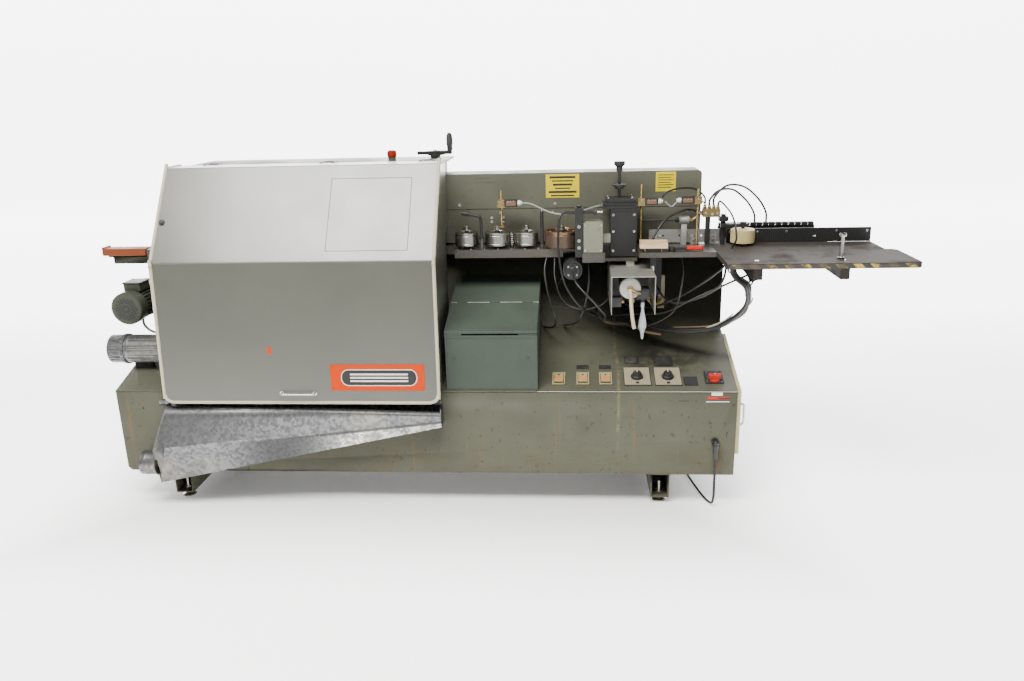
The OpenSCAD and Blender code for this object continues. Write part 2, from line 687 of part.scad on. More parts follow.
module side_door() {
  color([0.72, 0.66, 0.42]) difference() {
    union() {
      ex(cab_right + 1, cab_right + 15) polygon([[-290, 200], [-290, 436], [72, 540], [72, 200]]);
      cz(250, 500, cab_right + 14, 80, 5);
      bx(cab_right + 4, cab_right + 14, 70, 80, 250, 500);
    }
    ex(cab_right, cab_right + 13) polygon([[-286, 204], [-286, 432], [68, 534], [68, 204]]);
    for (z = [299, 479]) bx(cab_right - 1, cab_right + 20, 73.5, 99, z, z + 14);
    cz(249, 501, cab_right + 14, 80, 2 + clear);
  }
}
module roller(x, y, r, col) {
  color(col) difference() {
    union() {
      cz(909, 958, x, y, r);
      cz(904, 909, x, y, 18);
      cz(958, 962, x, y, r - 6);
    }
    cz(900, 970, x, y, axle_r + clear);
    cz(950, 970, x, y, 22);
  }
}
module roller_1() { roller(-29, 49 - r1, r1, [0.72, 0.72, 0.7]); }
module roller_2() { roller(85, 49 - r2, r2, [0.72, 0.72, 0.7]); }
module roller_3() { roller(195, 49 - r3, r3, [0.72, 0.72, 0.7]); }
module glue_roller() { roller(326, 49 - r4, r4, [0.5, 0.32, 0.2]); }
module tape_roller() {
  color([0.85, 0.8, 0.6]) difference() {
    cz(905, 958, 983, 7, 43);
    cz(900, 970, 983, 7, 6 + clear);
  }
}
module glue_plunger() {
  color([0.1, 0.1, 0.1]) {
    cz(930, 1174, 534, 2, 6);
    cz(1170, 1192, 534, 2, 12);
    cz(1192, 1207, 534, 2, 20);
    cz(1118, 1126, 534, 2, 25);
    cz(1109, 1118, 534, 2, 16);
  }
}
module cylinder_rod() {
  color([0.75, 0.75, 0.75]) {
    cx(606, 768, 20, 990, 4);
    bx(600, 612, 15, 27, 984, 996);
  }
}
module clamp_lever() {
  color([0.07, 0.07, 0.07]) {
    cz(work_z + 40.3, 1026, 30, -30, 6);
    cz(work_z + 40.3, work_z + 52, 30, -30, 10);
    translate([30, -30, 1020]) sphere(r = 8);
    translate([30, -30, 1020]) rotate([0, -78, 0]) cylinder(h = 66, r = 6);
  }
}
module red_lever() {
  color([0.75, 0.1, 0.06]) {
    difference() {
      union() {
        cz(work_z + 2, work_z + 16, 716, -108, 10);
        bx(716, 770, -113, -103, work_z + 6, work_z + 14);
      }
      cz(work_z, work_z + 20, 716, -108, 4 + clear);
    }
    cx(768, 825, -108, work_z + 12, 8);
  }
}

cabinet();
levelling_feet();
bed();
portal();
feed_chain();
infeed_table();
infeed_fence();
alu_fence();
fence_post();
roller_plate();
glue_cartridge();
glue_box();
glue_tower();
glue_motor();
cover_box();
pump_motor();
switch_rods();
limit_switches();
cylinder_body();
air_fittings();
air_hoses();
toolbox();
panel_plates();
chute();
dust_duct();
side_motor();
outfeed_bar();
wood_block();
cord_gland();
power_cord();
cord_coil();
plug();
trim_units();
saw_blade();
trim_cutter();
stop_button();
beam();
handwheel();
crank_grip();
hood_shell();
hood_trim();
hood_handle();
hood_badge();
box_lid();
side_door();
roller_1();
roller_2();
roller_3();
glue_roller();
tape_roller();
glue_plunger();
cylinder_rod();
rocker_1();
rocker_2();
rocker_3();
knob_1();
knob_2();
main_knob();
clamp_lever();
red_lever();
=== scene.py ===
import math

import bmesh
import bpy
from mathutils import Matrix, Vector


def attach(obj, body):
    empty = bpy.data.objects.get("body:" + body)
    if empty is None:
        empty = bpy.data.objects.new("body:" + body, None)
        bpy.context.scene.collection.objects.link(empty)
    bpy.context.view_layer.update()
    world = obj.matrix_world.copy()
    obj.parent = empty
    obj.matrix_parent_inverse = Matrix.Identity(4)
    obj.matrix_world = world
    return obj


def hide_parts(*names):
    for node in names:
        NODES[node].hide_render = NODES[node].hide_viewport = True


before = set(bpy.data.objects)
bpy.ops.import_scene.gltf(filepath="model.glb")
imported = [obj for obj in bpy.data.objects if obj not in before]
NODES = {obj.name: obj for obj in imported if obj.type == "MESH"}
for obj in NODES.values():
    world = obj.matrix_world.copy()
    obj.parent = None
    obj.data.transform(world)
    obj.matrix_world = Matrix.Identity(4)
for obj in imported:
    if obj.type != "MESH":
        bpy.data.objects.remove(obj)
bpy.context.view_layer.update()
SCENE = bpy.context.scene
MM = 0.001


# ---------------------------------------------------------------- camera
CAM_AT = Vector((0.3722, -3.0534, 1.4543))
CAM_YAW, CAM_PITCH, CAM_ROLL = 0.079, 0.291, -0.026
CAM_FORWARD = Vector((-math.sin(CAM_YAW) * math.cos(CAM_PITCH), math.cos(CAM_YAW) * math.cos(CAM_PITCH),
    -math.sin(CAM_PITCH)))
CAM_RIGHT = Vector((math.cos(CAM_YAW), math.sin(CAM_YAW), 0.0))
CAM_UP = CAM_RIGHT.cross(CAM_FORWARD)
cr, sr = math.cos(CAM_ROLL), math.sin(CAM_ROLL)
axis_x = cr * CAM_RIGHT + sr * CAM_UP
axis_y = -sr * CAM_RIGHT + cr * CAM_UP
camera_data = bpy.data.cameras.new("camera")
camera = bpy.data.objects.new("camera", camera_data)
SCENE.collection.objects.link(camera)
camera_data.sensor_width = 36.0
camera_data.lens = 29.173
camera_data.clip_start = 0.05
camera_data.clip_end = 60.0
pose = Matrix((axis_x, axis_y, -CAM_FORWARD)).transposed().to_4x4()
pose.translation = CAM_AT
camera.matrix_world = pose
SCENE.camera = camera


# ---------------------------------------------------------------- shader maths


class Val:
    """A socket that takes part in ordinary arithmetic."""

    def __init__(self, graph, out):
        self.graph = graph
        self.out = out

    def math(self, op, *others):
        values = [self, *others]
        return self.graph.add("ShaderNodeMath", {"operation": op}, dict(enumerate(values)))

    def __add__(self, other):
        return self.math("ADD", other)

    __radd__ = __add__

    def __mul__(self, other):
        return self.math("MULTIPLY", other)

    __rmul__ = __mul__

    def __sub__(self, other):
        return self.math("SUBTRACT", other)

    def __rsub__(self, other):
        return self.graph.add("ShaderNodeMath", {"operation": "SUBTRACT"}, {0: other, 1: self})

    def __truediv__(self, other):
        return self.math("DIVIDE", other)

    def most(self, other):
        return self.math("MAXIMUM", other)

    def size(self):
        return self.math("ABSOLUTE")

    def frac(self):
        return self.math("FRACT")


class Graph:
    """One material: a principled shader and the nodes that feed it."""

    def __init__(self, name, rough=0.5, metal=0.0, coat=0.0, base=(0.5, 0.5, 0.5)):
        self.mat = bpy.data.materials.new(name)
        self.mat.use_nodes = True
        self.tree = self.mat.node_tree
        self.shader = self.tree.nodes["Principled BSDF"]
        self.set("Base Color", (*base, 1.0))
        self.set("Roughness", rough)
        self.set("Metallic", metal)
        self.set("Coat Weight", coat)
        self.set("Coat Roughness", 0.34)
        self.where = self.add("ShaderNodeTexCoord", {}, {}, "Object")

    def put(self, socket, value):
        if isinstance(value, Val):
            self.tree.links.new(value.out, socket)
        else:
            socket.default_value = value

    def add(self, kind, settings, inputs, out=0):
        node = self.tree.nodes.new(kind)
        for key, value in settings.items():
            setattr(node, key, value)
        for key, value in inputs.items():
            self.put(node.inputs[key], value)
        return Val(self, node.outputs[out])

    def set(self, name, value):
        self.put(self.shader.inputs[name], value)

    def axis(self, index):
        return self.add("ShaderNodeSeparateXYZ", {}, {0: self.where}, index)

    def at(self, stretch):
        return self.add("ShaderNodeVectorMath", {"operation": "MULTIPLY"}, {0: self.where, 1: stretch})

    def noise(self, scale, detail=3.0, rough=0.55, stretch=(1, 1, 1), out=0):
        return self.add("ShaderNodeTexNoise", {},
            {"Vector": self.at(stretch), "Scale": scale, "Detail": detail, "Roughness": rough}, out)

    def cells(self, scale, out="Distance", stretch=(1, 1, 1)):
        return self.add("ShaderNodeTexVoronoi", {}, {"Vector": self.at(stretch), "Scale": scale}, out)

    def band(self, value, low, high, to_low=0.0, to_high=1.0):
        return self.add("ShaderNodeMapRange", {"interpolation_type": "SMOOTHSTEP"},
            {"Value": value, "From Min": low, "From Max": high, "To Min": to_low, "To Max": to_high})

    def mix(self, factor, a, b):
        a = a if isinstance(a, Val) else (*a, 1.0)
        b = b if isinstance(b, Val) else (*b, 1.0)
        return self.add("ShaderNodeMix", {"data_type": "RGBA"}, {0: factor, 6: a, 7: b}, 2)

    def bump(self, height, strength, distance=0.001):
        self.set("Normal", self.add("ShaderNodeBump", {},
            {"Height": height, "Strength": strength, "Distance": distance}))


def shade(colour, k):
    return tuple(c * k for c in colour)


RUST = (0.15, 0.095, 0.040)
RESIN = (0.20, 0.17, 0.085)
GRIME = (0.05, 0.045, 0.035)
DUST = (0.42, 0.38, 0.30)


def paint(name, colour, rough=0.42, grain=0.35, dirt=0.35, drips=0.0, chips=0.4, coat=0.0, gloss=0.34,
        shine=0.3):
    """Hammered machine paint with grime, drips and chips."""
    g = Graph(name, rough, 0.0, coat, colour)
    g.set("Specular IOR Level", shine)
    g.set("Coat Roughness", gloss)
    g.set("Coat IOR", 1.7 if coat > 0.5 else 1.5)
    cloud = g.noise(2.6, 4.0)
    col = g.mix(g.band(cloud, 0.35, 0.65), shade(colour, 0.92), shade(colour, 1.08))
    smear = g.band(g.noise(9.0, 5.0, 0.65), 0.50, 0.78)
    col = g.mix(smear * dirt, col, GRIME)
    if drips:
        runs = g.band(g.noise(1.0, 4.0, 0.6, (46, 46, 2.2)), 0.60, 0.74)
        patch = g.band(g.noise(1.7, 2.0), 0.42, 0.62)
        col = g.mix(runs * patch * drips, col, RUST)
        foot = g.band(g.axis(2), 0.30, 0.12)
        col = g.mix(foot * g.band(g.noise(14.0, 4.0), 0.4, 0.7) * (drips * 0.35), col, shade(RUST, 0.6))
        # glue that ran down the front beside the switches
        run = g.band((g.axis(0) - 0.535 + g.noise(5.0) * 0.02).size(), 0.009, 0.001)
        run = run * g.band(g.axis(2), 0.16, 0.30) * g.band(g.noise(30.0, 4.0), 0.35, 0.6)
        col = g.mix(run * 0.5, col, RESIN)
        # oily chips that fell under the glue unit
        far_x, far_y = (g.axis(0) - 0.70) / 0.21, (g.axis(1) + 0.12) / 0.10
        spill = g.band(far_x * far_x + far_y * far_y, 1.0, 0.1)
        spill = spill * g.band(g.noise(20.0, 5.0, 0.7), 0.36, 0.56)
        col = g.mix(spill * 0.75, col, shade(GRIME, 0.5))
    specks = g.band(g.noise(62.0, 2.0, 0.5), 0.665, 0.70)
    col = g.mix(specks * chips, col, GRIME)
    g.set("Base Color", col)
    g.set("Roughness", g.band(g.noise(6.0, 3.0), 0.3, 0.7, rough - 0.08, rough + 0.12))
    if grain:
        g.bump(g.noise(240.0, 2.0, 0.6), grain, 0.0006)
    return g.mat


def metal(name, colour, rough=0.35, grain=(1, 1, 1), scale=300.0, wear=0.35, tint=GRIME, amount=1.0,
        shine=0.5):
    """Bare metal with a drawn grain and stains."""
    g = Graph(name, rough, amount, 0.0, colour)
    g.set("Specular IOR Level", shine)
    lines = g.noise(scale, 2.0, 0.6, grain)
    col = g.mix(g.band(lines, 0.3, 0.7), shade(colour, 0.85), shade(colour, 1.12))
    stain = g.band(g.noise(7.0, 5.0, 0.65), 0.48, 0.75)
    col = g.mix(stain * wear, col, tint)
    g.set("Base Color", col)
    g.set("Roughness", g.band(stain + lines * 0.4, 0.1, 1.2, rough - 0.06, rough + 0.22))
    g.bump(lines, 0.12, 0.0003)
    return g.mat


def spangle(name, colour):
    """Hot-dip galvanised sheet."""
    g = Graph(name, 0.42, 0.85, 0.0, colour)
    flake = g.cells(95.0, "Color")
    tone = g.add("ShaderNodeSeparateColor", {}, {0: flake}, 0)
    soft = g.noise(22.0, 5.0, 0.7)
    both = tone * 0.55 + soft * 0.6
    col = g.mix(g.band(both, 0.30, 0.85), shade(colour, 0.72), shade(colour, 1.22))
    dull = g.band(g.noise(4.0, 5.0, 0.65), 0.50, 0.72)
    col = g.mix(dull * 0.35, col, DUST)
    g.set("Base Color", col)
    g.set("Roughness", g.band(both, 0.3, 0.9, 0.50, 0.34))
    return g.mat


def plastic(name, colour, rough=0.5, dust=0.25, coat=0.0, grain=0.08, shine=0.4):
    """Plastic or rubber with settled dust."""
    g = Graph(name, rough, 0.0, coat, colour)
    g.set("Specular IOR Level", shine)
    film = g.band(g.noise(13.0, 5.0, 0.65), 0.45, 0.8)
    g.set("Base Color", g.mix(film * dust, colour, shade(DUST, 0.6)))
    g.set("Roughness", g.band(film, 0.0, 1.0, rough, min(rough + 0.25, 1.0)))
    g.bump(g.noise(500.0, 1.0), grain, 0.0003)
    return g.mat


GREEN = (0.082, 0.083, 0.060)
M = {}
M["machine"] = paint("machine_paint", GREEN, 0.54, 0.30, 0.25, 0.75, 0.6, 0.0, 0.34, 0.12)
M["beam"] = paint("beam_paint", shade(GREEN, 0.98), 0.42, 0.30, 0.22, 0.0, 0.35)
M["hood"] = paint("hood_paint", shade(GREEN, 0.72), 0.38, 0.35, 0.10, 0.0, 0.30, 1.0, 0.3)
M["box"] = paint("box_paint", (0.050, 0.064, 0.050), 0.56, 0.30, 0.16, 0.0, 0.25, 0.0, 0.34, 0.12)
M["motor"] = paint("motor_paint", (0.040, 0.046, 0.032), 0.5, 0.2, 0.35, 0.0, 0.4)
M["light"] = paint("light_paint", (0.150, 0.158, 0.115), 0.45, 0.2, 0.35, 0.0, 0.4)
M["iron"] = metal("bed_iron", (0.085, 0.080, 0.072), 0.48, (1, 6, 6), 60.0, 0.45, RUST, 0.7)
M["table"] = metal("table_steel", (0.042, 0.036, 0.031), 0.72, (0.4, 6, 6), 60.0, 0.6,
    (0.022, 0.016, 0.012), 0.0, 0.12)
M["steel"] = metal("bright_steel", (0.50, 0.49, 0.46), 0.30, (1, 1, 8), 80.0, 0.35, RUST)
M["turned"] = metal("turned_aluminium", (0.34, 0.33, 0.30), 0.36, (1, 1, 30), 40.0, 0.25, GRIME)
M["alu"] = metal("aluminium", (0.52, 0.53, 0.50), 0.42, (1, 8, 8), 60.0, 0.30, GRIME, 0.8)
M["cover"] = metal("cover_sheet", (0.40, 0.40, 0.36), 0.45, (1, 1, 6), 60.0, 0.55, RUST, 0.7)
M["brass"] = metal("brass", (0.33, 0.24, 0.10), 0.40, (1, 1, 6), 80.0, 0.6, GRIME, 0.95)
M["copper"] = metal("copper_rim", (0.30, 0.155, 0.075), 0.38, (1, 1, 12), 60.0, 0.45, GRIME, 0.9)
M["zinc"] = spangle("galvanised", (0.146, 0.148, 0.150))
M["black"] = paint("black_paint", (0.018, 0.018, 0.018), 0.42, 0.12, 0.0, 0.0, 0.0)
M["plastic"] = plastic("black_plastic", (0.016, 0.016, 0.017), 0.42, 0.12)
M["rubber"] = plastic("black_rubber", (0.014, 0.014, 0.014), 0.62, 0.16)
M["hose"] = plastic("hose_rubber", (0.014, 0.014, 0.014), 0.38, 0.10)
M["pads"] = plastic("chain_pads", (0.022, 0.022, 0.022), 0.65, 0.30)
M["cream"] = plastic("cream_edge", (0.44, 0.40, 0.29), 0.48, 0.35)
M["cream_plate"] = plastic("cream_plate", (0.27, 0.225, 0.15), 0.5, 0.5)
M["aged_cream"] = plastic("aged_cream", (0.30, 0.25, 0.12), 0.6, 0.4)
M["white"] = plastic("white_label", (0.66, 0.65, 0.60), 0.5, 0.25)
M["orange"] = plastic("orange_badge", (0.50, 0.040, 0.002), 0.85, 0.04, 0.0, 0.08, 0.08)
M["dark_red"] = plastic("dark_red_plastic", (0.26, 0.016, 0.007), 0.45, 0.1, 0.0, 0.08, 0.15)
M["red"] = plastic("red_plastic", (0.46, 0.018, 0.008), 0.42, 0.08, 0.0, 0.08, 0.2)
M["rocker"] = plastic("orange_rocker", (0.62, 0.20, 0.06), 0.35, 0.15)
M["yellow"] = plastic("yellow_label", (0.58, 0.46, 0.002), 0.85, 0.06, 0.0, 0.08, 0.08)
M["ink"] = plastic("label_ink", (0.015, 0.015, 0.015), 0.5, 0.0)
M["urethane"] = plastic("urethane", (0.58, 0.47, 0.22), 0.45, 0.2)
M["bar"] = plastic("brown_bar", (0.17, 0.042, 0.014), 0.42, 0.10, 0.0, 0.08, 0.15)
M["beige"] = plastic("beige_hose", (0.45, 0.38, 0.26), 0.5, 0.3)
M["grey_cable"] = plastic("grey_cable", (0.22, 0.22, 0.21), 0.5, 0.15)
M["ghost"] = paint("ghost_paint", shade(GREEN, 0.80), 0.5, 0.3, 0.1, 0.0, 0.2)
M["brown_drum"] = metal("brown_drum", (0.105, 0.075, 0.052), 0.40, (1, 1, 14), 50.0, 0.45, GRIME, 0.5)


def wood_mat():
    """Pale wood with long grain."""
    g = Graph("wood", 0.6)
    rings = g.noise(14.0, 4.0, 0.6, (0.6, 6, 6))
    g.set("Base Color", g.mix(g.band(rings, 0.35, 0.65), (0.42, 0.27, 0.15), (0.62, 0.45, 0.28)))
    g.bump(rings, 0.15, 0.0005)
    return g.mat


def hazard_mat():
    """Worn yellow and black warning stripes along the table's edge."""
    g = Graph("hazard_edge", 0.55)
    run = (g.axis(0) + g.axis(1) + g.axis(2)) / 0.055
    stripe = g.band(run.frac(), 0.47, 0.53)
    worn = g.band(g.noise(11.0, 5.0, 0.7), 0.36, 0.50)
    col = g.mix(stripe, (0.45, 0.30, 0.03), (0.02, 0.02, 0.02))
    g.set("Base Color", g.mix(worn * 0.93, col, (0.035, 0.03, 0.024)))
    return g.mat


M["rust"] = plastic("rusty_terminals", (0.16, 0.075, 0.035), 0.6, 0.2)
M["disc"] = metal("pump_disc", (0.42, 0.41, 0.38), 0.45, (1, 1, 6), 60.0, 0.35, GRIME, 0.5)
M["clear"] = plastic("clouded_bowl", (0.34, 0.37, 0.38), 0.22, 0.3, 0.4)
M["brown_wire"] = plastic("brown_wire", (0.16, 0.10, 0.055), 0.5, 0.4)
M["yellow_old"] = plastic("aged_yellow", (0.34, 0.27, 0.07), 0.5, 0.3)
M["worn"] = plastic("worn_paint", (0.42, 0.42, 0.36), 0.5, 0.5)
M["dark_plate"] = plastic("dark_plate", (0.020, 0.020, 0.021), 0.55, 0.25)
M["door"] = plastic("door_cream", (0.42, 0.38, 0.20), 0.5, 0.35)
M["wood"] = wood_mat()
M["hazard"] = hazard_mat()


# ---------------------------------------------------------------- shapes, in millimetres


class Piece:
    """Collects bevelled solids into one object."""

    def __init__(self):
        self.bm = bmesh.new()

    def take(self, bm, bevel=0.0, seg=2, matrix=None, slot=0, sharp=0.5):
        """Bevels the mesh's hard edges, places it and adds it to the piece."""
        bmesh.ops.recalc_face_normals(bm, faces=bm.faces)
        if bevel:
            edges = [e for e in bm.edges if len(e.link_faces) == 2 and e.calc_face_angle(0.0) > sharp]
            bmesh.ops.bevel(bm, geom=edges, offset=bevel, offset_type="OFFSET", segments=seg, profile=0.5,
                affect="EDGES", material=-1, clamp_overlap=True)
        if matrix is not None:
            bmesh.ops.transform(bm, matrix=matrix, verts=bm.verts)
        for face in bm.faces:
            face.material_index = slot
        mesh = bpy.data.meshes.new("part")
        bm.to_mesh(mesh)
        bm.free()
        self.bm.from_mesh(mesh)
        bpy.data.meshes.remove(mesh)
        return self

    def box(self, x0, x1, y0, y1, z0, z1, bevel=1.0, seg=2, matrix=None, slot=0):
        """A box between two corners."""
        bm = bmesh.new()
        bmesh.ops.create_cube(bm, size=1.0)
        centre = Matrix.Translation(((x0 + x1) / 2, (y0 + y1) / 2, (z0 + z1) / 2))
        grow = centre @ Matrix.Diagonal((x1 - x0, y1 - y0, z1 - z0, 1.0))
        bmesh.ops.transform(bm, matrix=grow, verts=bm.verts)
        return self.take(bm, bevel, seg, matrix, slot)

    def rod(self, a, b, r, r2=None, bevel=0.0, n=32, matrix=None, slot=0, seg=2):
        """A round or many-sided rod from a to b, tapered if r2 is given."""
        a, b = Vector(a), Vector(b)
        bm = bmesh.new()
        bmesh.ops.create_cone(bm, cap_ends=True, segments=n, radius1=r, radius2=r if r2 is None else r2,
            depth=(b - a).length)
        turn = Matrix.Translation((a + b) / 2) @ (b - a).to_track_quat("Z", "Y").to_matrix().to_4x4()
        if bevel:
            bmesh.ops.recalc_face_normals(bm, faces=bm.faces)
            edges = [e for e in bm.edges if e.calc_face_angle(0.0) > 0.7]
            bmesh.ops.bevel(bm, geom=edges, offset=bevel, offset_type="OFFSET", segments=seg, profile=0.5,
                affect="EDGES", material=-1, clamp_overlap=True)
        bmesh.ops.transform(bm, matrix=turn, verts=bm.verts)
        return self.take(bm, 0.0, 2, matrix, slot)

    def prism(self, points, axis, low, high, bevel=1.0, seg=2, matrix=None, slot=0, sharp=0.5):
        """An outline pushed along an axis: "x" takes (y, z) points, "y" takes (x, z), "z" takes (x, y)."""
        place = {"x": lambda p: (low, p[0], p[1]), "y": lambda p: (p[0], low, p[1]),
            "z": lambda p: (p[0], p[1], low)}
        step = {"x": (high - low, 0, 0), "y": (0, high - low, 0), "z": (0, 0, high - low)}[axis]
        bm = bmesh.new()
        face = bm.faces.new([bm.verts.new(place[axis](p)) for p in points])
        made = bmesh.ops.extrude_face_region(bm, geom=[face])["geom"]
        bmesh.ops.translate(bm, vec=step, verts=[v for v in made if isinstance(v, bmesh.types.BMVert)])
        return self.take(bm, bevel, seg, matrix, slot, sharp)

    def lathe(self, profile, at, axis="z", n=48, matrix=None, slot=0):
        """Turns (radius, height) points about an axis through at."""
        bm = bmesh.new()
        verts = [bm.verts.new((r, 0.0, h)) for r, h in profile]
        edges = [bm.edges.new((verts[i], verts[i + 1])) for i in range(len(verts) - 1)]
        bmesh.ops.spin(bm, geom=verts + edges, cent=(0, 0, 0), axis=(0, 0, 1), angle=2 * math.pi, steps=n)
        bmesh.ops.remove_doubles(bm, verts=bm.verts, dist=0.0005)
        turn = {"z": Matrix(), "x": Matrix.Rotation(math.pi / 2, 4, "Y"),
            "-x": Matrix.Rotation(-math.pi / 2, 4, "Y"), "-y": Matrix.Rotation(math.pi / 2, 4, "X"),
            "y": Matrix.Rotation(-math.pi / 2, 4, "X")}[axis]
        bmesh.ops.transform(bm, matrix=Matrix.Translation(at) @ turn, verts=bm.verts)
        return self.take(bm, 0.0, 2, matrix, slot)

    def bolt(self, at, axis="z", r=5.0, h=4.0, slot=0, matrix=None, sides=6):
        """A bolt head on a washer, standing out along the axis."""
        way = {"z": (0, 0, 1), "-z": (0, 0, -1), "y": (0, 1, 0), "-y": (0, -1, 0), "x": (1, 0, 0),
            "-x": (-1, 0, 0)}[axis]
        a, w = Vector(at), Vector(way)
        self.rod(a, a + w * 1.0, r * 1.35, n=20, slot=slot, matrix=matrix)
        return self.rod(a + w, a + w * h, r, bevel=r * 0.12, n=sides, slot=slot, matrix=matrix, seg=1)

    def tube(self, points, r, n=10, slot=0):
        """A round tube through the points, with rings turned as little as possible."""
        pts = [Vector(p) for p in points]
        bm = bmesh.new()
        rings = []
        side = None
        for i, p in enumerate(pts):
            t = (pts[min(i + 1, len(pts) - 1)] - pts[max(i - 1, 0)]).normalized()
            if side is None:
                side = t.orthogonal().normalized()
            side = (side - t * side.dot(t)).normalized()
            other = t.cross(side)
            rings.append([bm.verts.new(p + r * (math.cos(2 * math.pi * k / n) * side
                + math.sin(2 * math.pi * k / n) * other)) for k in range(n)])
        for a, b in zip(rings, rings[1:]):
            for k in range(n):
                bm.faces.new((a[k], a[(k + 1) % n], b[(k + 1) % n], b[k]))
        bm.faces.new(rings[0])
        bm.faces.new(rings[-1])
        return self.take(bm, 0.0, 2, None, slot)

    def hose(self, points, steps, r, n=10, slot=0):
        """A round tube along the smooth curve through the given points."""
        return self.tube(smooth_route(points, steps), r, n, slot)

    def done(self, name, body, mats, slot=None, replaces=(), angle=35.0):
        bmesh.ops.scale(self.bm, vec=(MM, MM, MM), verts=self.bm.verts)
        bmesh.ops.recalc_face_normals(self.bm, faces=self.bm.faces)
        mesh = bpy.data.meshes.new(name)
        self.bm.to_mesh(mesh)
        self.bm.free()
        for key in mats:
            mesh.materials.append(M[key])
        mesh.shade_smooth()
        mesh.set_sharp_from_angle(angle=math.radians(angle))
        obj = bpy.data.objects.new(name, mesh)
        SCENE.collection.objects.link(obj)
        even = obj.modifiers.new("even_normals", "WEIGHTED_NORMAL")
        even.keep_sharp = True
        even.weight = 100
        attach(obj, body)
        if replaces:
            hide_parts(*replaces)
        return obj


def smooth_route(points, steps):
    """The curve that runs through the given points."""
    pts = [Vector(p) for p in points]
    out = []
    last = len(pts) - 1
    for i in range(last):
        a, b, c, d = pts[max(i - 1, 0)], pts[i], pts[i + 1], pts[min(i + 2, last)]
        for j in range(steps):
            t = j / steps
            out.append(0.5 * ((2 * b) + (c - a) * t + (2 * a - 5 * b + 4 * c - d) * t * t
                + (3 * b - a - 3 * c + d) * t * t * t))
    out.append(pts[-1])
    return out


def rounded(outline, radii, steps=5):
    """The same outline with its corners rounded."""
    out = []
    count = len(outline)
    for i, p in enumerate(outline):
        r = radii[i] if isinstance(radii, (list, tuple)) else radii
        p = Vector(p)
        if not r:
            out.append(tuple(p))
            continue
        a = (Vector(outline[i - 1]) - p).normalized()
        b = (Vector(outline[(i + 1) % count]) - p).normalized()
        half = a.angle(b) / 2
        reach = r / math.tan(half)
        start, end = p + a * reach, p + b * reach
        centre = p + (a + b).normalized() * (r / math.sin(half))
        for k in range(steps + 1):
            q = start.lerp(end, k / steps) - centre
            out.append(tuple(centre + q.normalized() * r))
    return out


def oblong(x0, x1, y0, y1, radii, steps=5):
    """A rectangle's outline with rounded corners."""
    return rounded([(x0, y0), (x1, y0), (x1, y1), (x0, y1)], radii, steps)


# ---------------------------------------------------------------- mains cord
CORD_R = 4.5
route = smooth_route([(866, -319, 192), (866, -319, 110), (866, -316, 40), (860, -292, 8), (836, -210, 5),
    (800, 0, 5), (770, 240, 5), (730, 400, 5), (640, 530, 5), (540, 585, 5), (462, 588, 5)], 5)
TURNS, COIL_R, COIL_RISE = 5, 52.0, 9.2
for k in range(TURNS * 24 + 1):
    turn = -math.pi / 2 - 2 * math.pi * k / 24
    route.append(Vector((430 + COIL_R * math.cos(turn), 640 + COIL_R * math.sin(turn),
        5 + COIL_RISE * k / 24)))
route += smooth_route([(398, 588, 51), (375, 588, 43), (350, 588, 28), (334, 588, 22), (326, 588, 22)], 4)
cord_length = sum((b - a).length for a, b in zip(route, route[1:])) * MM
cord_curve = bpy.data.curves.new("mains_cord", "CURVE")
cord_curve.dimensions = "3D"
cord_curve.bevel_depth = CORD_R * MM
cord_curve.bevel_resolution = 3
cord_curve.use_fill_caps = True
line = cord_curve.splines.new("POLY")
line.points.add(len(route) - 1)
for point, spot in zip(line.points, route):
    point.co = (*(spot * MM), 1.0)
cord = bpy.data.objects.new("mains_cord", cord_curve)
SCENE.collection.objects.link(cord)
cord_curve.materials.append(M["rubber"])
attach(cord, "frame")
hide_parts("power_cord", "cord_coil")


# ---------------------------------------------------------------- hood
HX0, HX1 = -1099.0, -100.0
BEND, CREST, BOTTOM = (-321.0, 915.0), (-109.0, 1221.0), (-359.0, 416.0)


def plane(foot, head):
    """Matrix of a sloping sheet: local x is the machine's x, local y runs up the sheet, local z out of it."""
    up = Vector((0.0, head[0] - foot[0], head[1] - foot[1]))
    length = up.length
    up.normalize()
    side = Vector((1.0, 0.0, 0.0))
    m = Matrix((side, up, side.cross(up))).transposed().to_4x4()
    m.translation = Vector((0.0, foot[0], foot[1]))
    return m, length


LOWER, lower_h = plane(BOTTOM, BEND)
UPPER, upper_h = plane(BEND, CREST)


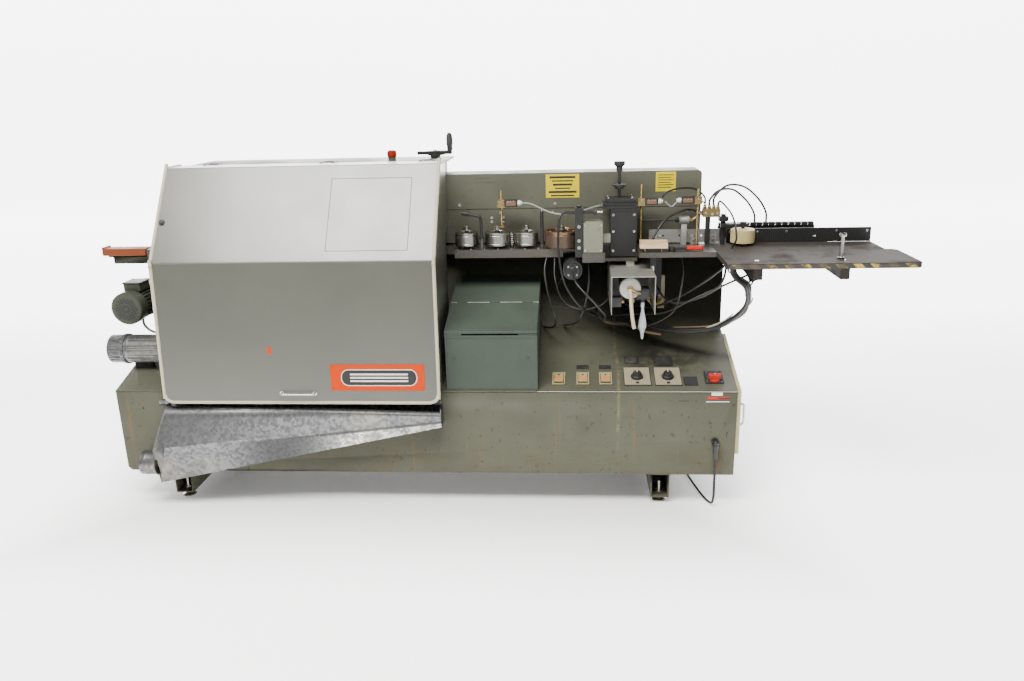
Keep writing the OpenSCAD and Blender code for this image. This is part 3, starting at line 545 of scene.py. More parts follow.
def hood_skin():
    """The folded sheet of the hood, with its side panels, hinge knuckles and inner ribs."""
    hood = Piece()
    hood.prism(oblong(HX0, HX1, 0, lower_h + 1, (24, 24, 0, 0), 6), "z", -2, 0, 0.5, matrix=LOWER)
    hood.prism([(HX0, -1), (HX1, -1), (HX1, upper_h), (HX0, upper_h)], "z", -2, 0, 0.5, matrix=UPPER)
    hood.rod((HX0, BEND[0] + 2.5, BEND[1]), (HX1, BEND[0] + 2.5, BEND[1]), 3.2, n=16)
    hood.prism([(CREST[0] - 1, 1219), (CREST[0] - 1, 1221.5), (10, 1221.5), (10, 1219)], "x", HX0, HX1,
        0.5)
    side_right = [(10, 1220), (-108, 1220), (-319.5, 915), (-355, 440), (-348, 424), (-340, 418),
        (-306, 418), (-306, 446), (-300, 446), (-55, 519), (-55, 960), (10, 990)]
    side_left = side_right[:9] + [(-215, 471), (-215, 640), (-55, 700), (-55, 960), (10, 990)]
    hood.prism(side_right, "x", HX1 - 2, HX1, 0.4)
    hood.prism(side_left, "x", HX0, HX0 + 2, 0.4)
    for x in (-1000, -560, -190):
        for shift in (0, 47):
            hood.rod((x + shift, 20, 1222), (x + shift + 13, 20, 1222), 4.2, n=20)
            hood.box(x + shift, x + shift + 13, -14, 20, 1221, 1223.5, 0.6)
        hood.rod((x - 3, 20, 1222), (x + 63, 20, 1222), 2.2, n=14)
        for k in (6, 54):
            hood.bolt((x + k, -6, 1222.5), "z", 3.5, 3)
    # folded stiffening ribs inside
    for x in (-770, -430):
        hood.prism([(-318, 900), (-352, 450), (-340, 450), (-306, 900)], "x", x, x + 25, 1)
        hood.prism([(-318, 918), (-112, 1214), (-112, 1196), (-306, 918)], "x", x, x + 25, 1)
    hood.done("hood_skin", "hood", ["hood"], "hood_paint", ["hood_shell"])


def edge_trim():
    """Cream edge strip, pushed over the sheet's edge all round."""
    loop = [(HX1 - 3, 8, 1220.5), (HX1 - 3, -60, 1220.5), (HX1 - 3, -104, 1219), (HX1 - 3, -114, 1211),
        (HX1 - 3, -310, 928), (HX1 - 3, -320, 911), (HX1 - 3, -323, 890), (HX1 - 3, -352, 470),
        (HX1 - 5, -354.5, 445), (HX1 - 13, -355.5, 427), (HX1 - 30, -356.2, 419),
        (HX1 - 60, -356.3, 417.5), (-400, -356.3, 417.5)]
    mirror = [(HX0 + HX1 - x, y, z) for x, y, z in reversed(loop[:-1])]
    trim = Piece()
    trim.hose([*loop, (-800, -356.3, 417.5), *mirror], 5, 6.2, 12)
    trim.done("edge_trim", "hood", ["cream"], "cream_edge", ["hood_trim"], 60)


def wire_handle():
    """Bent wire handle on two small feet."""
    fit = Piece()
    grip = [(-663, -356, 452), (-663, -366, 452), (-661, -371, 452), (-655, -373, 452), (-604, -373, 452),
        (-552, -373, 452), (-546, -371, 452), (-544, -366, 452), (-544, -356, 452)]
    fit.hose(grip, 4, 3.0, 12)
    for x in (-663, -544):
        fit.rod((x, -356.2, 452), (x, -358.5, 452), 8, bevel=0.6, n=24)
    fit.done("wire_handle", "hood", ["steel"], "bright_steel", ["hood_handle"])


def hood_lock():
    """Quarter-turn lock near the hood's left edge."""
    lock = Piece()
    lock.rod((-1077, 186, 0), (-1077, 186, 4), 11, bevel=1.0, n=32,
        matrix=UPPER @ Matrix.Translation((0, -29, 0)))
    lock.rod((-1077, 157, 4), (-1077, 157, 7), 7.5, bevel=0.8, n=24, matrix=UPPER)
    lock.box(-1078, -1076, 151, 163, 6.5, 7.8, 0.2, matrix=UPPER)
    lock.done("hood_lock", "hood", ["plastic"], "black_plastic")


# the badge's rectangle on the hood's lower slope
BX0, BX1, BY0, BY1 = -484.0, -150.0, 46.0, 140.0


def badge_plate():
    """Orange plate with four rivets."""
    badge = Piece()
    badge.prism(oblong(BX0, BX1, BY0, BY1, 3.0, 3), "z", 0.05, 1.5, 0.4, matrix=LOWER)
    for x in (BX0 + 9, BX1 - 9):
        for y in (BY0 + 9, BY1 - 9):
            badge.rod((x, y, 1.5), (x, y, 3.0), 3.0, bevel=0.6, n=16, matrix=LOWER)
    badge.done("badge_plate", "hood", ["orange"], "orange_badge", ["hood_badge"])


def badge_mark():
    """Plain dark bar with light lines, in place of a name."""
    mark = Piece()
    mid = (BY0 + BY1) / 2
    mark.prism(oblong(BX0 + 38, BX1 - 26, mid - 30, mid + 30, 26.0, 8), "z", 1.5, 1.9, 0.0, matrix=LOWER,
        slot=0)
    mark.prism(oblong(BX0 + 41, BX1 - 29, mid - 27, mid + 27, 23.0, 8), "z", 1.9, 2.2, 0.0, matrix=LOWER,
        slot=1)
    for k in range(3):
        mark.prism(oblong(BX0 + 70, BX1 - 58, mid - 15 + 12 * k, mid - 9 + 12 * k, 2.5, 4), "z", 2.2, 2.5,
            0.0, matrix=LOWER, slot=0)
    mark.done("badge_mark", "hood", ["white", "ink"], "black_plastic")


def hood_tag():
    """Small orange sticker."""
    tag = Piece()
    tag.box(-705, -690, 178, 203, 0.05, 0.6, 0.1, matrix=LOWER)
    tag.done("hood_tag", "hood", ["orange"], "orange_badge")


def label_ghost():
    """Outline left by a label that was taken off."""
    outline = Piece()
    for a, b in (((-480, 40), (-480, 318)), ((-195, 40), (-195, 318)), ((-480, 40), (-195, 40)),
            ((-480, 318), (-195, 318))):
        outline.box(min(a[0], b[0]) - 1.1, max(a[0], b[0]) + 1.1, min(a[1], b[1]) - 1.1,
            max(a[1], b[1]) + 1.1, 0.02, 0.25, 0.0, matrix=UPPER)
    outline.done("label_ghost", "hood", ["ghost"], "hood_paint")


# ---------------------------------------------------------------- pressure beam covers and notices


def beam_covers():
    """Two cover sheets on the front of the pressure beam."""
    front = Piece()
    front.prism(oblong(-1073, 836, 1034, 1163, (2, 2, 18, 2), 6), "y", 71.5, 74.8, 0.8)
    front.prism(oblong(-1073, 838, 906, 1031.5, 2, 3), "y", 72.3, 74.8, 0.6)
    front.done("beam_covers", "beam", ["beam"], "machine_paint")


def beam_bolts():
    """Bolts in the beam's covers."""
    bolts = Piece()
    for x in (-60, 120, 300, 480, 660, 815):
        bolts.bolt((x, 71.5, 1050), "-y", 4.5, 4)
    for x in (96, 290, 560, 790):
        bolts.bolt((x, 72.3, 1018), "-y", 4.0, 3.5)
    for x, z in ((60, 985), (104, 985), (60, 1000), (104, 1000)):
        bolts.bolt((x, 72.3, z), "-y", 4.0, 3.5)
    bolts.done("beam_bolts", "beam", ["steel"], "bright_steel")


def beam_notices():
    """Yellow notices with plain bars for their wording."""
    notices = Piece()
    notices.box(266, 390, 70.9, 71.5, 1072, 1158, 0.0, slot=0)
    notices.box(671, 744, 70.9, 71.5, 1089, 1160, 0.0, slot=0)
    for k, (a, b) in enumerate(((280, 376), (292, 364), (276, 380))):
        notices.box(a, b, 70.6, 70.9, 1143 - 27 * k, 1151 - 27 * k, 0.0, slot=1)
        notices.box(a + 8, b - 8, 70.6, 70.9, 1131 - 27 * k, 1136 - 27 * k, 0.0, slot=1)
    for k in range(6):
        notices.box(679, 736 - 9 * (k % 2), 70.6, 70.9, 1147 - 9 * k, 1150 - 9 * k, 0.0, slot=1)
    notices.box(0, 60, 70.9, 71.4, 1146, 1149, 0.0, slot=2)
    notices.box(0, 84, 70.9, 71.4, 1132, 1134, 0.0, slot=2)
    notices.done("beam_notices", "beam", ["yellow", "ink", "ghost"], "black_plastic")


def pressure_shoe():
    """Rubber shoe along the beam's underside."""
    shoe = Piece()
    shoe.box(-1050, 810, 88, 150, 903.4, 906, 0.8)
    shoe.done("pressure_shoe", "beam", ["rubber"], "black_rubber")


# ---------------------------------------------------------------- pressure and glue rollers


def roller_look(name, node, x, y, r, key, slot_name):
    """A turned roller with a groove near each rim and a dished top."""
    roller = Piece()
    roller.lathe([(8.2, 905), (17, 905), (18, 906), (18, 909), (r - 2, 909), (r, 911), (r, 917),
        (r - 0.8, 918), (r - 0.8, 919), (r, 920), (r, 947), (r - 0.8, 948), (r - 0.8, 949), (r, 950),
        (r, 956), (r - 2, 958), (r - 8, 958.5), (r - 10, 956), (22, 956), (20, 953), (8.2, 953)],
        (x, y, 0), n=56)
    roller.done(name, node, [key], slot_name, [node])


def pressure_rollers():
    """The three turned pressure rollers."""
    roller_look("pressure_roller_1", "roller_1", -29, 6, 43, "turned", "aluminium")
    roller_look("pressure_roller_2", "roller_2", 85, 4, 45, "turned", "aluminium")
    roller_look("pressure_roller_3", "roller_3", 195, 5, 44, "turned", "aluminium")


def glue_applicator_roller():
    """Brown drum with a copper rim and a bolted hub."""
    big = Piece()
    big.lathe([(8.2, 905), (40, 905), (62, 905), (64, 907), (64, 951), (62.5, 953), (62.5, 955)],
        (326, -15, 0), n=72, slot=0)
    big.lathe([(62.5, 955), (64.5, 956), (65, 958), (65, 963), (63.5, 964.5), (56, 964.5), (54, 962),
        (54, 958)], (326, -15, 0), n=72, slot=1)
    big.lathe([(54, 958), (30, 957), (22, 961), (16, 961), (16, 955), (8.2, 955), (8.2, 905)],
        (326, -15, 0), n=72, slot=2)
    for k in range(6):
        a = k * math.pi / 3
        big.bolt((326 + 42 * math.cos(a), -15 + 42 * math.sin(a), 957), "z", 4.5, 5, slot=3)
    big.done("glue_applicator_roller", "glue_roller", ["brown_drum", "copper", "black", "steel"],
        "copper_roller", ["glue_roller"])


def tape_feed_roller():
    """Urethane roller that feeds the edge tape."""
    pu = Piece()
    pu.lathe([(6.3, 905), (15, 905), (15, 907), (41, 907), (43, 909), (43, 954), (41, 956), (16, 956),
        (15, 958), (6.3, 958)], (983, 7, 0), n=56)
    pu.done("tape_feed_roller", "tape_roller", ["urethane"], "urethane", ["tape_roller"])


def roller_caps():
    """Axle caps, the spring between the rollers and the screws of the bed's front."""
    caps = Piece()
    for x, y in ((-29, 6), (85, 4), (195, 5), (326, -15)):
        caps.lathe([(0, 976), (6, 976), (8, 974), (11.5, 973), (12, 965), (8, 964.5)], (x, y, 0), n=28)
        caps.bolt((x, y, 975), "z", 6.5, 6)
    for k in range(7):
        caps.lathe([(4, 902.5 + 7 * k), (8, 903 + 7 * k), (8, 906.5 + 7 * k), (4, 907 + 7 * k)],
            (140, 6, 0), n=20)
    caps.bolt((140, 6, 946), "z", 6, 7)
    caps.bolt((253, -22, 1036), "z", 5.5, 6)
    for x in range(-60, 395, 50):
        caps.bolt((x, -38, 899), "z", 4, 3.5)
    caps.done("roller_caps", "frame", ["steel"], "bright_steel")


# ---------------------------------------------------------------- clamp lever and red lever


def clamp_handle():
    """Bent clamp lever."""
    lever = Piece()
    lever.rod((30, -30, 938.5), (30, -30, 948), 11, bevel=1.2, n=24)
    lever.hose([(30, -30, 946), (30, -30, 990), (29, -30, 1012), (22, -30, 1021), (8, -30, 1024),
        (-35, -30, 1033)], 5, 5.5, 14)
    lever.rod((-10, -30, 1028), (-40, -30, 1034), 7.5, r2=9.0, bevel=2.0, n=24)
    lever.done("clamp_handle", "clamp_lever", ["black"], "black_metal", ["clamp_lever"])


def red_grip():
    """Red lever on its pivot."""
    grip = Piece()
    grip.lathe([(4.2, 900), (10, 900), (11, 901), (11, 913), (10, 914), (4.2, 914)], (716, -108, 0), n=28,
        slot=1)
    grip.box(722, 772, -113, -103, 903, 911, 1.5, slot=1)
    grip.prism(rounded([(768, -116), (825, -119), (825, -97), (768, -100)], 6, 5), "z", 902.5, 917, 4, 3,
        slot=0)
    grip.done("red_grip", "red_lever", ["red", "black"], "red_plastic", ["red_lever"])


# ---------------------------------------------------------------- sheet and block parts with worked edges


def soften(node, width=0.8, seg=2, sharp=0.6):
    """The CAD part's own shape with its edges rounded."""
    source = NODES[node]
    bm = bmesh.new()
    bm.from_mesh(source.data)
    bmesh.ops.transform(bm, matrix=Matrix.Scale(1 / MM, 4) @ source.matrix_world, verts=bm.verts)
    bmesh.ops.remove_doubles(bm, verts=bm.verts, dist=0.01)
    bmesh.ops.dissolve_limit(bm, angle_limit=math.radians(1.0), verts=bm.verts, edges=bm.edges)
    return Piece().take(bm, width, seg, None, 0, sharp)


RISE = 121 / 404
TILT = math.atan(RISE)


def on_slope(x, y):
    """Matrix of a spot on the control slope: local z leaves the sheet, local y runs up it."""
    spot = Matrix.Translation((x, y, 440 + (y + 300) * RISE))
    return spot @ Matrix.Rotation(TILT, 4, "X")


def base_cabinet():
    """The cabinet's sheet with its seam, weld pads and hinge pins."""
    base = soften("cabinet", 1.6)
    base.box(-1311, 936, -301.2, -299.5, 436.5, 440.5, 0.6)
    for x in (-1146, 645):
        for y in (-250, 325):
            base.rod((x + 33.5, y, 27), (x + 33.5, y, 31), 16, bevel=1, n=28)
        base.box(x - 4, x + 71, -286, -278, 112, 122.2, 2)
    for x in (-1200, -400, 300, 820):
        base.bolt((x, 200, 866), "z", 6, 5, slot=1)
    for z in (306, 486):
        base.rod((950, 80, z - 22), (950, 80, z + 34), 2.6, bevel=0.5, n=16, slot=1)
    base.done("base_cabinet", "frame", ["machine", "steel"], "machine_paint", ["cabinet"])


def base_labels():
    """Blank label shapes, screws and marks on the cabinet's front."""
    marks = Piece()
    marks.box(846, 884, -300.7, -300.1, 424, 436, 0.1, slot=0)
    marks.box(832, 906, -300.6, -300.1, 410, 420, 0.1, slot=1)
    marks.box(868, 906, -300.8, -300.2, 412, 417, 0.1, slot=2)
    marks.box(828, 908, -300.5, -300.1, 400, 403, 0.0, slot=0)
    marks.box(734, 768, -300.5, -300.1, 404, 405.4, 0.0, slot=2)
    for x, z in ((846, 322), (650, 272), (905, 286), (-1215, 372)):
        marks.rod((x, -300.1, z), (x, -301.2, z), 3.2, bevel=0.6, n=16, slot=2)
    marks.box(903, 905, -300.8, -300.1, 268, 286, 0.0, slot=2)
    marks.done("base_labels", "frame", ["white", "red", "ink"], "black_plastic")


def worn_edge():
    """Bare edge along the front of the control slope."""
    edge = Piece()
    edge.box(240, 934, -301.6, -300.9, 437.5, 439.6, 0.3)
    edge.done("worn_edge", "frame", ["worn"], "machine_paint")


def feet_look():
    """Levelling feet with threads and nuts."""
    feet = Piece()
    for x in (-1112.5, 678.5):
        for y in (-250, 325):
            feet.lathe([(0, 0), (26, 0), (26, 3), (22, 6), (12, 9), (11, 10), (0, 10)], (x, y, 0), n=40)
            feet.rod((x, y, 8), (x, y, 75), 7.8, n=24)
            for k in range(12):
                feet.lathe([(7.6, 38.5 + 3 * k), (8.2, 39.6 + 3 * k), (7.6, 40.7 + 3 * k)], (x, y, 0),
                    n=24)
            feet.rod((x, y, 10), (x, y, 21), 14, bevel=1.4, n=6)
            feet.rod((x, y, 27.2), (x, y, 37.5), 14, bevel=1.4, n=6)
    feet.done("feet_look", "frame", ["steel"], "bright_steel", ["levelling_feet"])


def softened_parts():
    """CAD parts whose own shape is kept, with worked edges."""
    for node, key, slot_name, width in (("bed", "iron", "bed_iron", 1.2),
            ("portal", "beam", "machine_paint", 1.5), ("infeed_fence", "black", "black_metal", 0.7),
            ("alu_fence", "alu", "aluminium", 0.8), ("fence_post", "black", "black_metal", 1.0),
            ("roller_plate", "iron", "bed_iron", 1.2), ("glue_cartridge", "black", "black_metal", 1.6),
            ("glue_box", "light", "light_grey", 1.2), ("glue_tower", "black", "black_metal", 1.2),
            ("cover_box", "cover", "cover_sheet", 0.7), ("toolbox", "box", "box_paint", 0.8),
            ("wood_block", "wood", "wood", 1.0), ("outfeed_bar", "bar", "brown_bar", 2.5),
            ("trim_units", "light", "light_grey", 1.6)):
        soften(node, width).done(node + "_look", "frame", [key], slot_name, [node])


def beam_body():
    """The pressure beam itself."""
    soften("beam", 1.2).done("beam_body", "beam", ["beam"], "machine_paint", ["beam"])


def side_door_look():
    """Cream door on the right end."""
    door = soften("side_door", 2.0)
    door.done("side_door_look", "side_door", ["door"], "cream_edge", ["side_door"])


def side_door_pull():
    """Its bent pull and four screws."""
    pull = Piece()
    pull.hose([(951, -262, 300), (962, -262, 302), (968, -262, 312), (968, -262, 340), (968, -262, 368),
        (962, -262, 378), (951, -262, 380)], 4, 4, 12)
    for z in (222, 412):
        for y in (-262, 40):
            pull.bolt((951, y, z), "x", 4, 3)
    pull.done("side_door_pull", "side_door", ["steel"], "cream_edge")


def table_look():
    """Infeed table: bevelled plate on folded rails."""
    outline = [(871, -347), (1476, -347), (1490, -333), (1490, -117), (1476, -103), (1453, -103),
        (1453, 51), (871, 51)]
    top = Piece()
    top.prism(rounded(outline, (1, 5, 5, 5, 5, 2, 2, 1), 4), "z", 880, 898, 1.4, 3)
    for x in (960, 1240):
        top.box(x, x + 30, -320, 200, 838, 880, 1.5)
    top.box(936, 1300, 104, 140, 838, 880, 1.5)
    for x in (975, 1255):
        for y in (-290, -40):
            top.rod((x, y, 898), (x, y, 898.3), 8, n=28, slot=1)
    top.done("table_look", "frame", ["table", "steel"], "table_steel", ["infeed_table"])


def table_stripes():
    """Warning stripes along the table's edge."""
    stripe = Piece()
    stripe.box(876, 1473, -348.2, -346.9, 881.5, 896, 0.4)
    stripe.prism([(1474, -346.6), (1490.4, -330), (1489.6, -329.4), (1473.4, -345.6)], "z", 881.5, 896,
        0.3)
    stripe.box(1489.8, 1490.8, -330, -125, 881.5, 896, 0.3)
    stripe.done("table_stripes", "frame", ["hazard"], "table_steel")


def guide_pin_and_screws():
    """Turned guide pin and the fences' screws."""
    pin = Piece()
    pin.lathe([(0, 898), (12, 898), (12, 901), (7, 904), (6, 906), (5.4, 925), (5, 965), (5.5, 971),
        (10, 973), (11, 976), (10.5, 982), (8, 985), (0, 985)], (1251, -275, 0), n=36)
    for x in (1045, 1150, 1330, 1438):
        pin.bolt((x, 51, 938), "-y", 3.5, 3)
    for x in (945, 1015):
        pin.bolt((x, 54, 938), "-y", 3.5, 3)
    for x in (680, 812, 882):
        pin.bolt((x, 34, 913), "-y", 4.2, 4)
        pin.rod((x, 36, 929), (x, 30, 929), 3, bevel=0.6, n=14)
    pin.done("guide_pin_and_screws", "frame", ["steel"], "bright_steel")


def fence_ribs():
    """Ribs of the infeed fence."""
    slits = Piece()
    for x in range(1060, 1440, 8):
        if abs(x - 1251) > 14:
            slits.box(x, x + 1.2, 50.6, 51.2, 901, 947, 0.0)
    slits.done("fence_ribs", "frame", ["plastic"], "black_metal")


def chain_pads():
    """Feed chain as separate ribbed pads."""
    chain = Piece()
    chain.box(-1238, 1258, 112, 158, 884, 892, 0.8)
    for k in range(50):
        x = -1232 + 50 * k
        chain.box(x, x + 40, 98, 172, 892, 899, 1.2)
        for j in range(5):
            chain.box(x + 3 + 7.4 * j, x + 7 + 7.4 * j, 100, 170, 898.8, 900, 0.3)
    chain.done("chain_pads", "frame", ["pads"], "black_rubber", ["feed_chain"])


def toolbox_lid():
    """Lid with a grip lip."""
    lid = soften("box_lid", 1.0)
    lid.prism([(-299.4, 652), (-299.4, 661.5), (-297, 662.5), (-297, 652)], "x", -83, 241, 0.3)
    lid.done("toolbox_lid", "box_lid", ["box"], "box_paint", ["box_lid"])


def toolbox_seam():
    """Hinge rod and the paint worn off above it."""
    seam = Piece()
    seam.rod((-83, -110.2, 716.6), (241, -110.2, 716.6), 1.3, n=10)
    for a, b in ((-80, -66), (-58, -20), (-12, 30), (44, 52), (60, 96), (104, 110), (118, 172),
            (186, 236)):
        seam.box(a, b, -111.6, -110.6, 716.8, 718.2, 0.2)
    seam.done("toolbox_seam", "box_lid", ["worn"], "box_paint")


def toolbox_rim():
    """Rim and rivets of the toolbox."""
    rim = Piece()
    rim.box(-84, 242, -297, -295, 636, 645, 0.8)
    for x in (-50, 208):
        rim.bolt((x, -295, 560), "-y", 3.5, 2.5)
    rim.box(240.6, 241.6, -290, -120, 610, 612, 0.3)
    rim.done("toolbox_rim", "frame", ["box"], "box_paint")


# control slope: plates, dials, rockers, main switch


def bordered(p, matrix, x0, x1, y0, y1, base_slot, face_slot, thick=2.4, rim=2.6):
    """A plate with a raised face of another colour inside its rim."""
    p.box(x0, x1, y0, y1, 0.05, thick, 0.4, matrix=matrix, slot=base_slot)
    p.box(x0 + rim, x1 - rim, y0 + rim, y1 - rim, thick, thick + 0.5, 0.15, matrix=matrix, slot=face_slot)


def panel_fittings():
    """Plates, labels, dial scales and switch bezels on the control slope."""
    panel = Piece()
    for x in (593.5, 702):
        at = on_slope(x, -216)
        bordered(panel, at, -48, 48, -55, 55, 0, 1)
        for k in range(11):
            turn = at @ Matrix.Translation((0, -4, 0))
            turn = turn @ Matrix.Rotation(math.radians(-135 + 27 * k), 4, "Z")
            panel.box(-0.6, 0.6, 25, 31 if k % 5 else 34, 2.9, 3.15, 0.0, matrix=turn, slot=0)
        panel.rod((0, -4, 2.9), (0, -4, 3.1), 22.5, n=40, matrix=at, slot=2)
        panel.box(-6, 6, -46, -34, 2.9, 3.2, 0.0, matrix=at, slot=2)
    for x, y, x0, x1, y0, y1 in ((579, -117, -26, 26, -22, 22), (694, -124, -34, 33, -28, 32),
            (781, -243, -25, 24, -26, 26)):
        at = on_slope(x, y)
        panel.box(x0, x1, y0, y1, 0.05, 1.8, 0.5, matrix=at, slot=0)
        panel.box(x0 + 4, x1 - 4, y0 + 4, y1 - 4, 1.8, 2.1, 0.1, matrix=at, slot=3)
    for x in (400, 481):
        at = on_slope(x, -160)
        panel.box(-22, 22, -12, 12, 0.05, 1.4, 0.4, matrix=at, slot=0)
        panel.box(-16, 12, -5, -2, 1.4, 1.7, 0.0, matrix=at, slot=3)
        panel.box(-16, 4, 2, 5, 1.4, 1.7, 0.0, matrix=at, slot=3)
    for x in (314, 400, 481):
        at = on_slope(x, -233)
        for x0, x1, y0, y1 in ((-23, 23, -35, -30), (-23, 23, 30, 35), (-23, -18.2, -30, 30),
                (18.2, 23, -30, 30)):
            panel.box(x0, x1, y0, y1, 0.05, 8, 1.0, matrix=at, slot=4)
        panel.box(-18.2, 18.2, -30, 30, 0.05, 0.8, 0.0, matrix=at, slot=2)
    at = on_slope(863, -223)
    bordered(panel, at, -32, 32, -37, 38, 0, 3, 3.4, 4)
    for x, y in ((-24, -30), (24, -30), (-24, 30), (24, 30)):
        panel.rod((x, y, 3.9), (x, y, 5), 2.6, bevel=0.4, n=14, matrix=at, slot=5)
    panel.done("panel_fittings", "frame", ["plastic", "cream_plate", "ink", "dark_plate", "aged_cream",
        "steel"], "black_plastic", ["panel_plates"])


def dials():
    """The two turning knobs."""
    for number, x in ((1, 593.5), (2, 702)):
        at = on_slope(x, -216) @ Matrix.Translation((0, -4, 0))
        dial = Piece()
        ring = [(0, 3.6), (19, 3.6), (20, 4.6), (20, 9.5), (18.5, 11), (15.5, 11.3), (14.2, 12.4),
            (13.4, 21.5), (12.4, 23), (0, 23.2)]
        dial.lathe(ring, (0, 0, 0), n=48, matrix=at)
        for k in range(20):
            turn = at @ Matrix.Rotation(math.radians(18 * k), 4, "Z")
            dial.box(-1, 1, 13.0, 14.6, 12.6, 22, 0.4, matrix=turn)
        dial.box(-1.1, 1.1, 1, 13, 23.1, 24.2, 0.3, matrix=at, slot=1)
        dial.box(-1.1, 1.1, 15, 19.6, 10.9, 11.5, 0.2, matrix=at, slot=1)
        dial.rod((0, 0, 0.5), (0, 0, 4), 5.6, n=20, matrix=at)
        dial.done("dial_%d" % number, "knob_%d" % number, ["plastic", "white"], "black_plastic",
            ["knob_%d" % number])


def rocker_caps():
    """The three rocker switches, each with an orange lens."""
    for number, x in ((1, 314), (2, 400), (3, 481)):
        at = on_slope(x, -233) @ Matrix.Translation((0, 0, 4)) @ Matrix.Rotation(math.radians(-8), 4, "X")
        cap = Piece()
        hollow = [(-28, 2), (0, -3), (28, 2), (28, 8.2), (14, 6.2), (0, 5.4), (-14, 6.2), (-28, 8.2)]
        cap.prism([(y, z) for y, z in hollow], "x", -16.6, 16.6, 0.9, 3, matrix=at, sharp=0.4)
        cap.prism([(-27, 7.6), (-13.5, 5.9), (-1, 5.3), (-1, 6.4), (-13.5, 7.3), (-27, 9.0)], "x", -14.5,
            14.5, 0.4, 2, matrix=at, slot=1, sharp=0.4)
        cap.rod((0, 17, 6.0), (0, 17, 7.6), 3.4, n=20, matrix=at, slot=2)
        cap.rod((-17.6, 0, 0), (17.6, 0, 0), 1.9, n=14, matrix=at, slot=2)
        cap.done("rocker_cap_%d" % number, "rocker_%d" % number, ["aged_cream", "rocker", "plastic"],
            "orange_rocker", ["rocker_%d" % number])


def main_switch():
    """Bar handle of the main switch."""
    at = on_slope(863, -223) @ Matrix.Translation((0, -20, 0))
    switch = Piece()
    switch.lathe([(0, 4.6), (16.5, 4.6), (17, 5.2), (17, 11), (16, 12.2), (0, 12.3)], (0, 0, 0), n=44,
        matrix=at)
    switch.prism(oblong(-22, 22, -7, 7, (6.5, 6.5, 6.5, 6.5), 6), "z", 12, 30.3, 2.0, 3, matrix=at)
    switch.box(-1.2, 1.2, 1, 6.8, 30.2, 30.8, 0.2, matrix=at, slot=1)
    switch.rod((0, 0, 0.5), (0, 0, 5), 7.6, n=20, matrix=at)
    switch.done("main_switch", "main_knob", ["red", "white"], "red_plastic", ["main_knob"])


def side_motor_look():
    """Finned motor with a fan cowl, a terminal box and its cable."""
    MX, MZ = -1360.0, 685.0
    motor = Piece()
    motor.box(-1425, -1311, 104, 230, 622, 748, 6, 3)
    motor.rod((MX, 100, MZ), (MX, -40, MZ), 54, n=56, bevel=1)
    for k in range(28):
        a = 2 * math.pi * k / 28
        turn = Matrix.Translation((MX, 0, MZ)) @ Matrix.Rotation(a, 4, "Y")
        motor.box(-1.2, 1.2, -34, 92, 52, 60.5, 0.5, matrix=turn)
    cowl = [(0, -56), (18, -56.5), (20, -58), (22, -58), (22, -57), (54, -57), (60, -55), (63.5, -49),
        (64, -40), (64, -8), (62, -8), (62, -40), (61, -48), (54, -53.5), (0, -53.5)]
    motor.lathe([(r, h) for r, h in cowl], (MX, 0, MZ), "y", n=64)
    motor.lathe([(54, 88), (61, 88), (61, 100), (54, 100)], (MX, 0, MZ), "y", n=56)
    motor.box(-1394, -1326, 6, 84, 738, 772, 5, 3)
    motor.box(-1397, -1323, 3, 87, 770, 776, 2)
    for x in (-1388, -1332):
        for y in (12, 78):
            motor.bolt((x, y, 776), "z", 3.2, 2.5, slot=2)
    for k in range(4):
        a = math.radians(45 + 90 * k)
        motor.bolt((MX + 58 * math.cos(a), -46, MZ + 58 * math.sin(a)), "-y", 3.5, 4, slot=2)
    # Black patches on the fan cowl's face: painted shade standing in for the dark vent openings.
    STEP = 12.4
    for i in range(-3, 4):
        for j in range(-4, 5):
            u, w = i * STEP, j * 9.6
            if 9 < math.hypot(u, w) < 44:
                cell = Matrix.Translation((MX, -57.5, MZ)) @ Matrix.Rotation(math.radians(-24), 4, "Y")
                motor.box(u - 4.9, u + 4.9, -0.3, 1.2, w - 3.4, w + 3.4, 0.0, matrix=cell, slot=1)
    motor.hose([(-1352, 40, 622), (-1345, 30, 600), (-1325, 25, 580), (-1300, 30, 566), (-1290, 60, 556)],
        6, 5, 12, slot=3)
    motor.done("side_motor_look", "frame", ["motor", "ink", "steel", "grey_cable"], "motor_paint",
        ["side_motor"])


def duct_pipe():
    """Galvanised suction pipe with its beads."""
    duct = Piece()
    duct.lathe([(51.6, -1379), (53.4, -1379), (53.4, -1331), (55.2, -1330), (57.4, -1328), (57.4, -1322),
        (55.2, -1320), (53.4, -1319), (53.4, -1308), (54.4, -1306), (54.4, -1303), (53.4, -1301),
        (53.4, -1000), (51.6, -1000), (51.6, -1379)], (0, -150, 555.5), "x", n=72)
    duct.done("duct_pipe", "frame", ["zinc"], "galvanised")


def duct_body():
    """The duct's box and legs."""
    legs = soften("dust_duct", 0.5)
    legs.done("duct_body", "frame", ["zinc"], "galvanised", ["dust_duct"])


def chip_chute():
    """Galvanised chute with its outlet and screws."""
    chute = soften("chute", 0.6)
    chute.lathe([(42, -1218), (44.2, -1218), (44.2, -1205), (45.4, -1203), (45.4, -1198), (44.2, -1196),
        (44.2, -1166), (47, -1162), (47, -1158), (42, -1158), (42, -1218)], (0, -345.5, 176), "x", n=64)
    chute.box(-1150, -104, -302.2, -300.4, 388, 402, 0.5)
    for x in (-1030, -600, -180):
        chute.bolt((x, -302.2, 395), "-y", 4.5, 3.5, slot=1)
    chute.done("chip_chute", "frame", ["zinc", "steel"], "galvanised", ["chute"])


# ---------------------------------------------------------------- glue unit, limit switches and cylinder


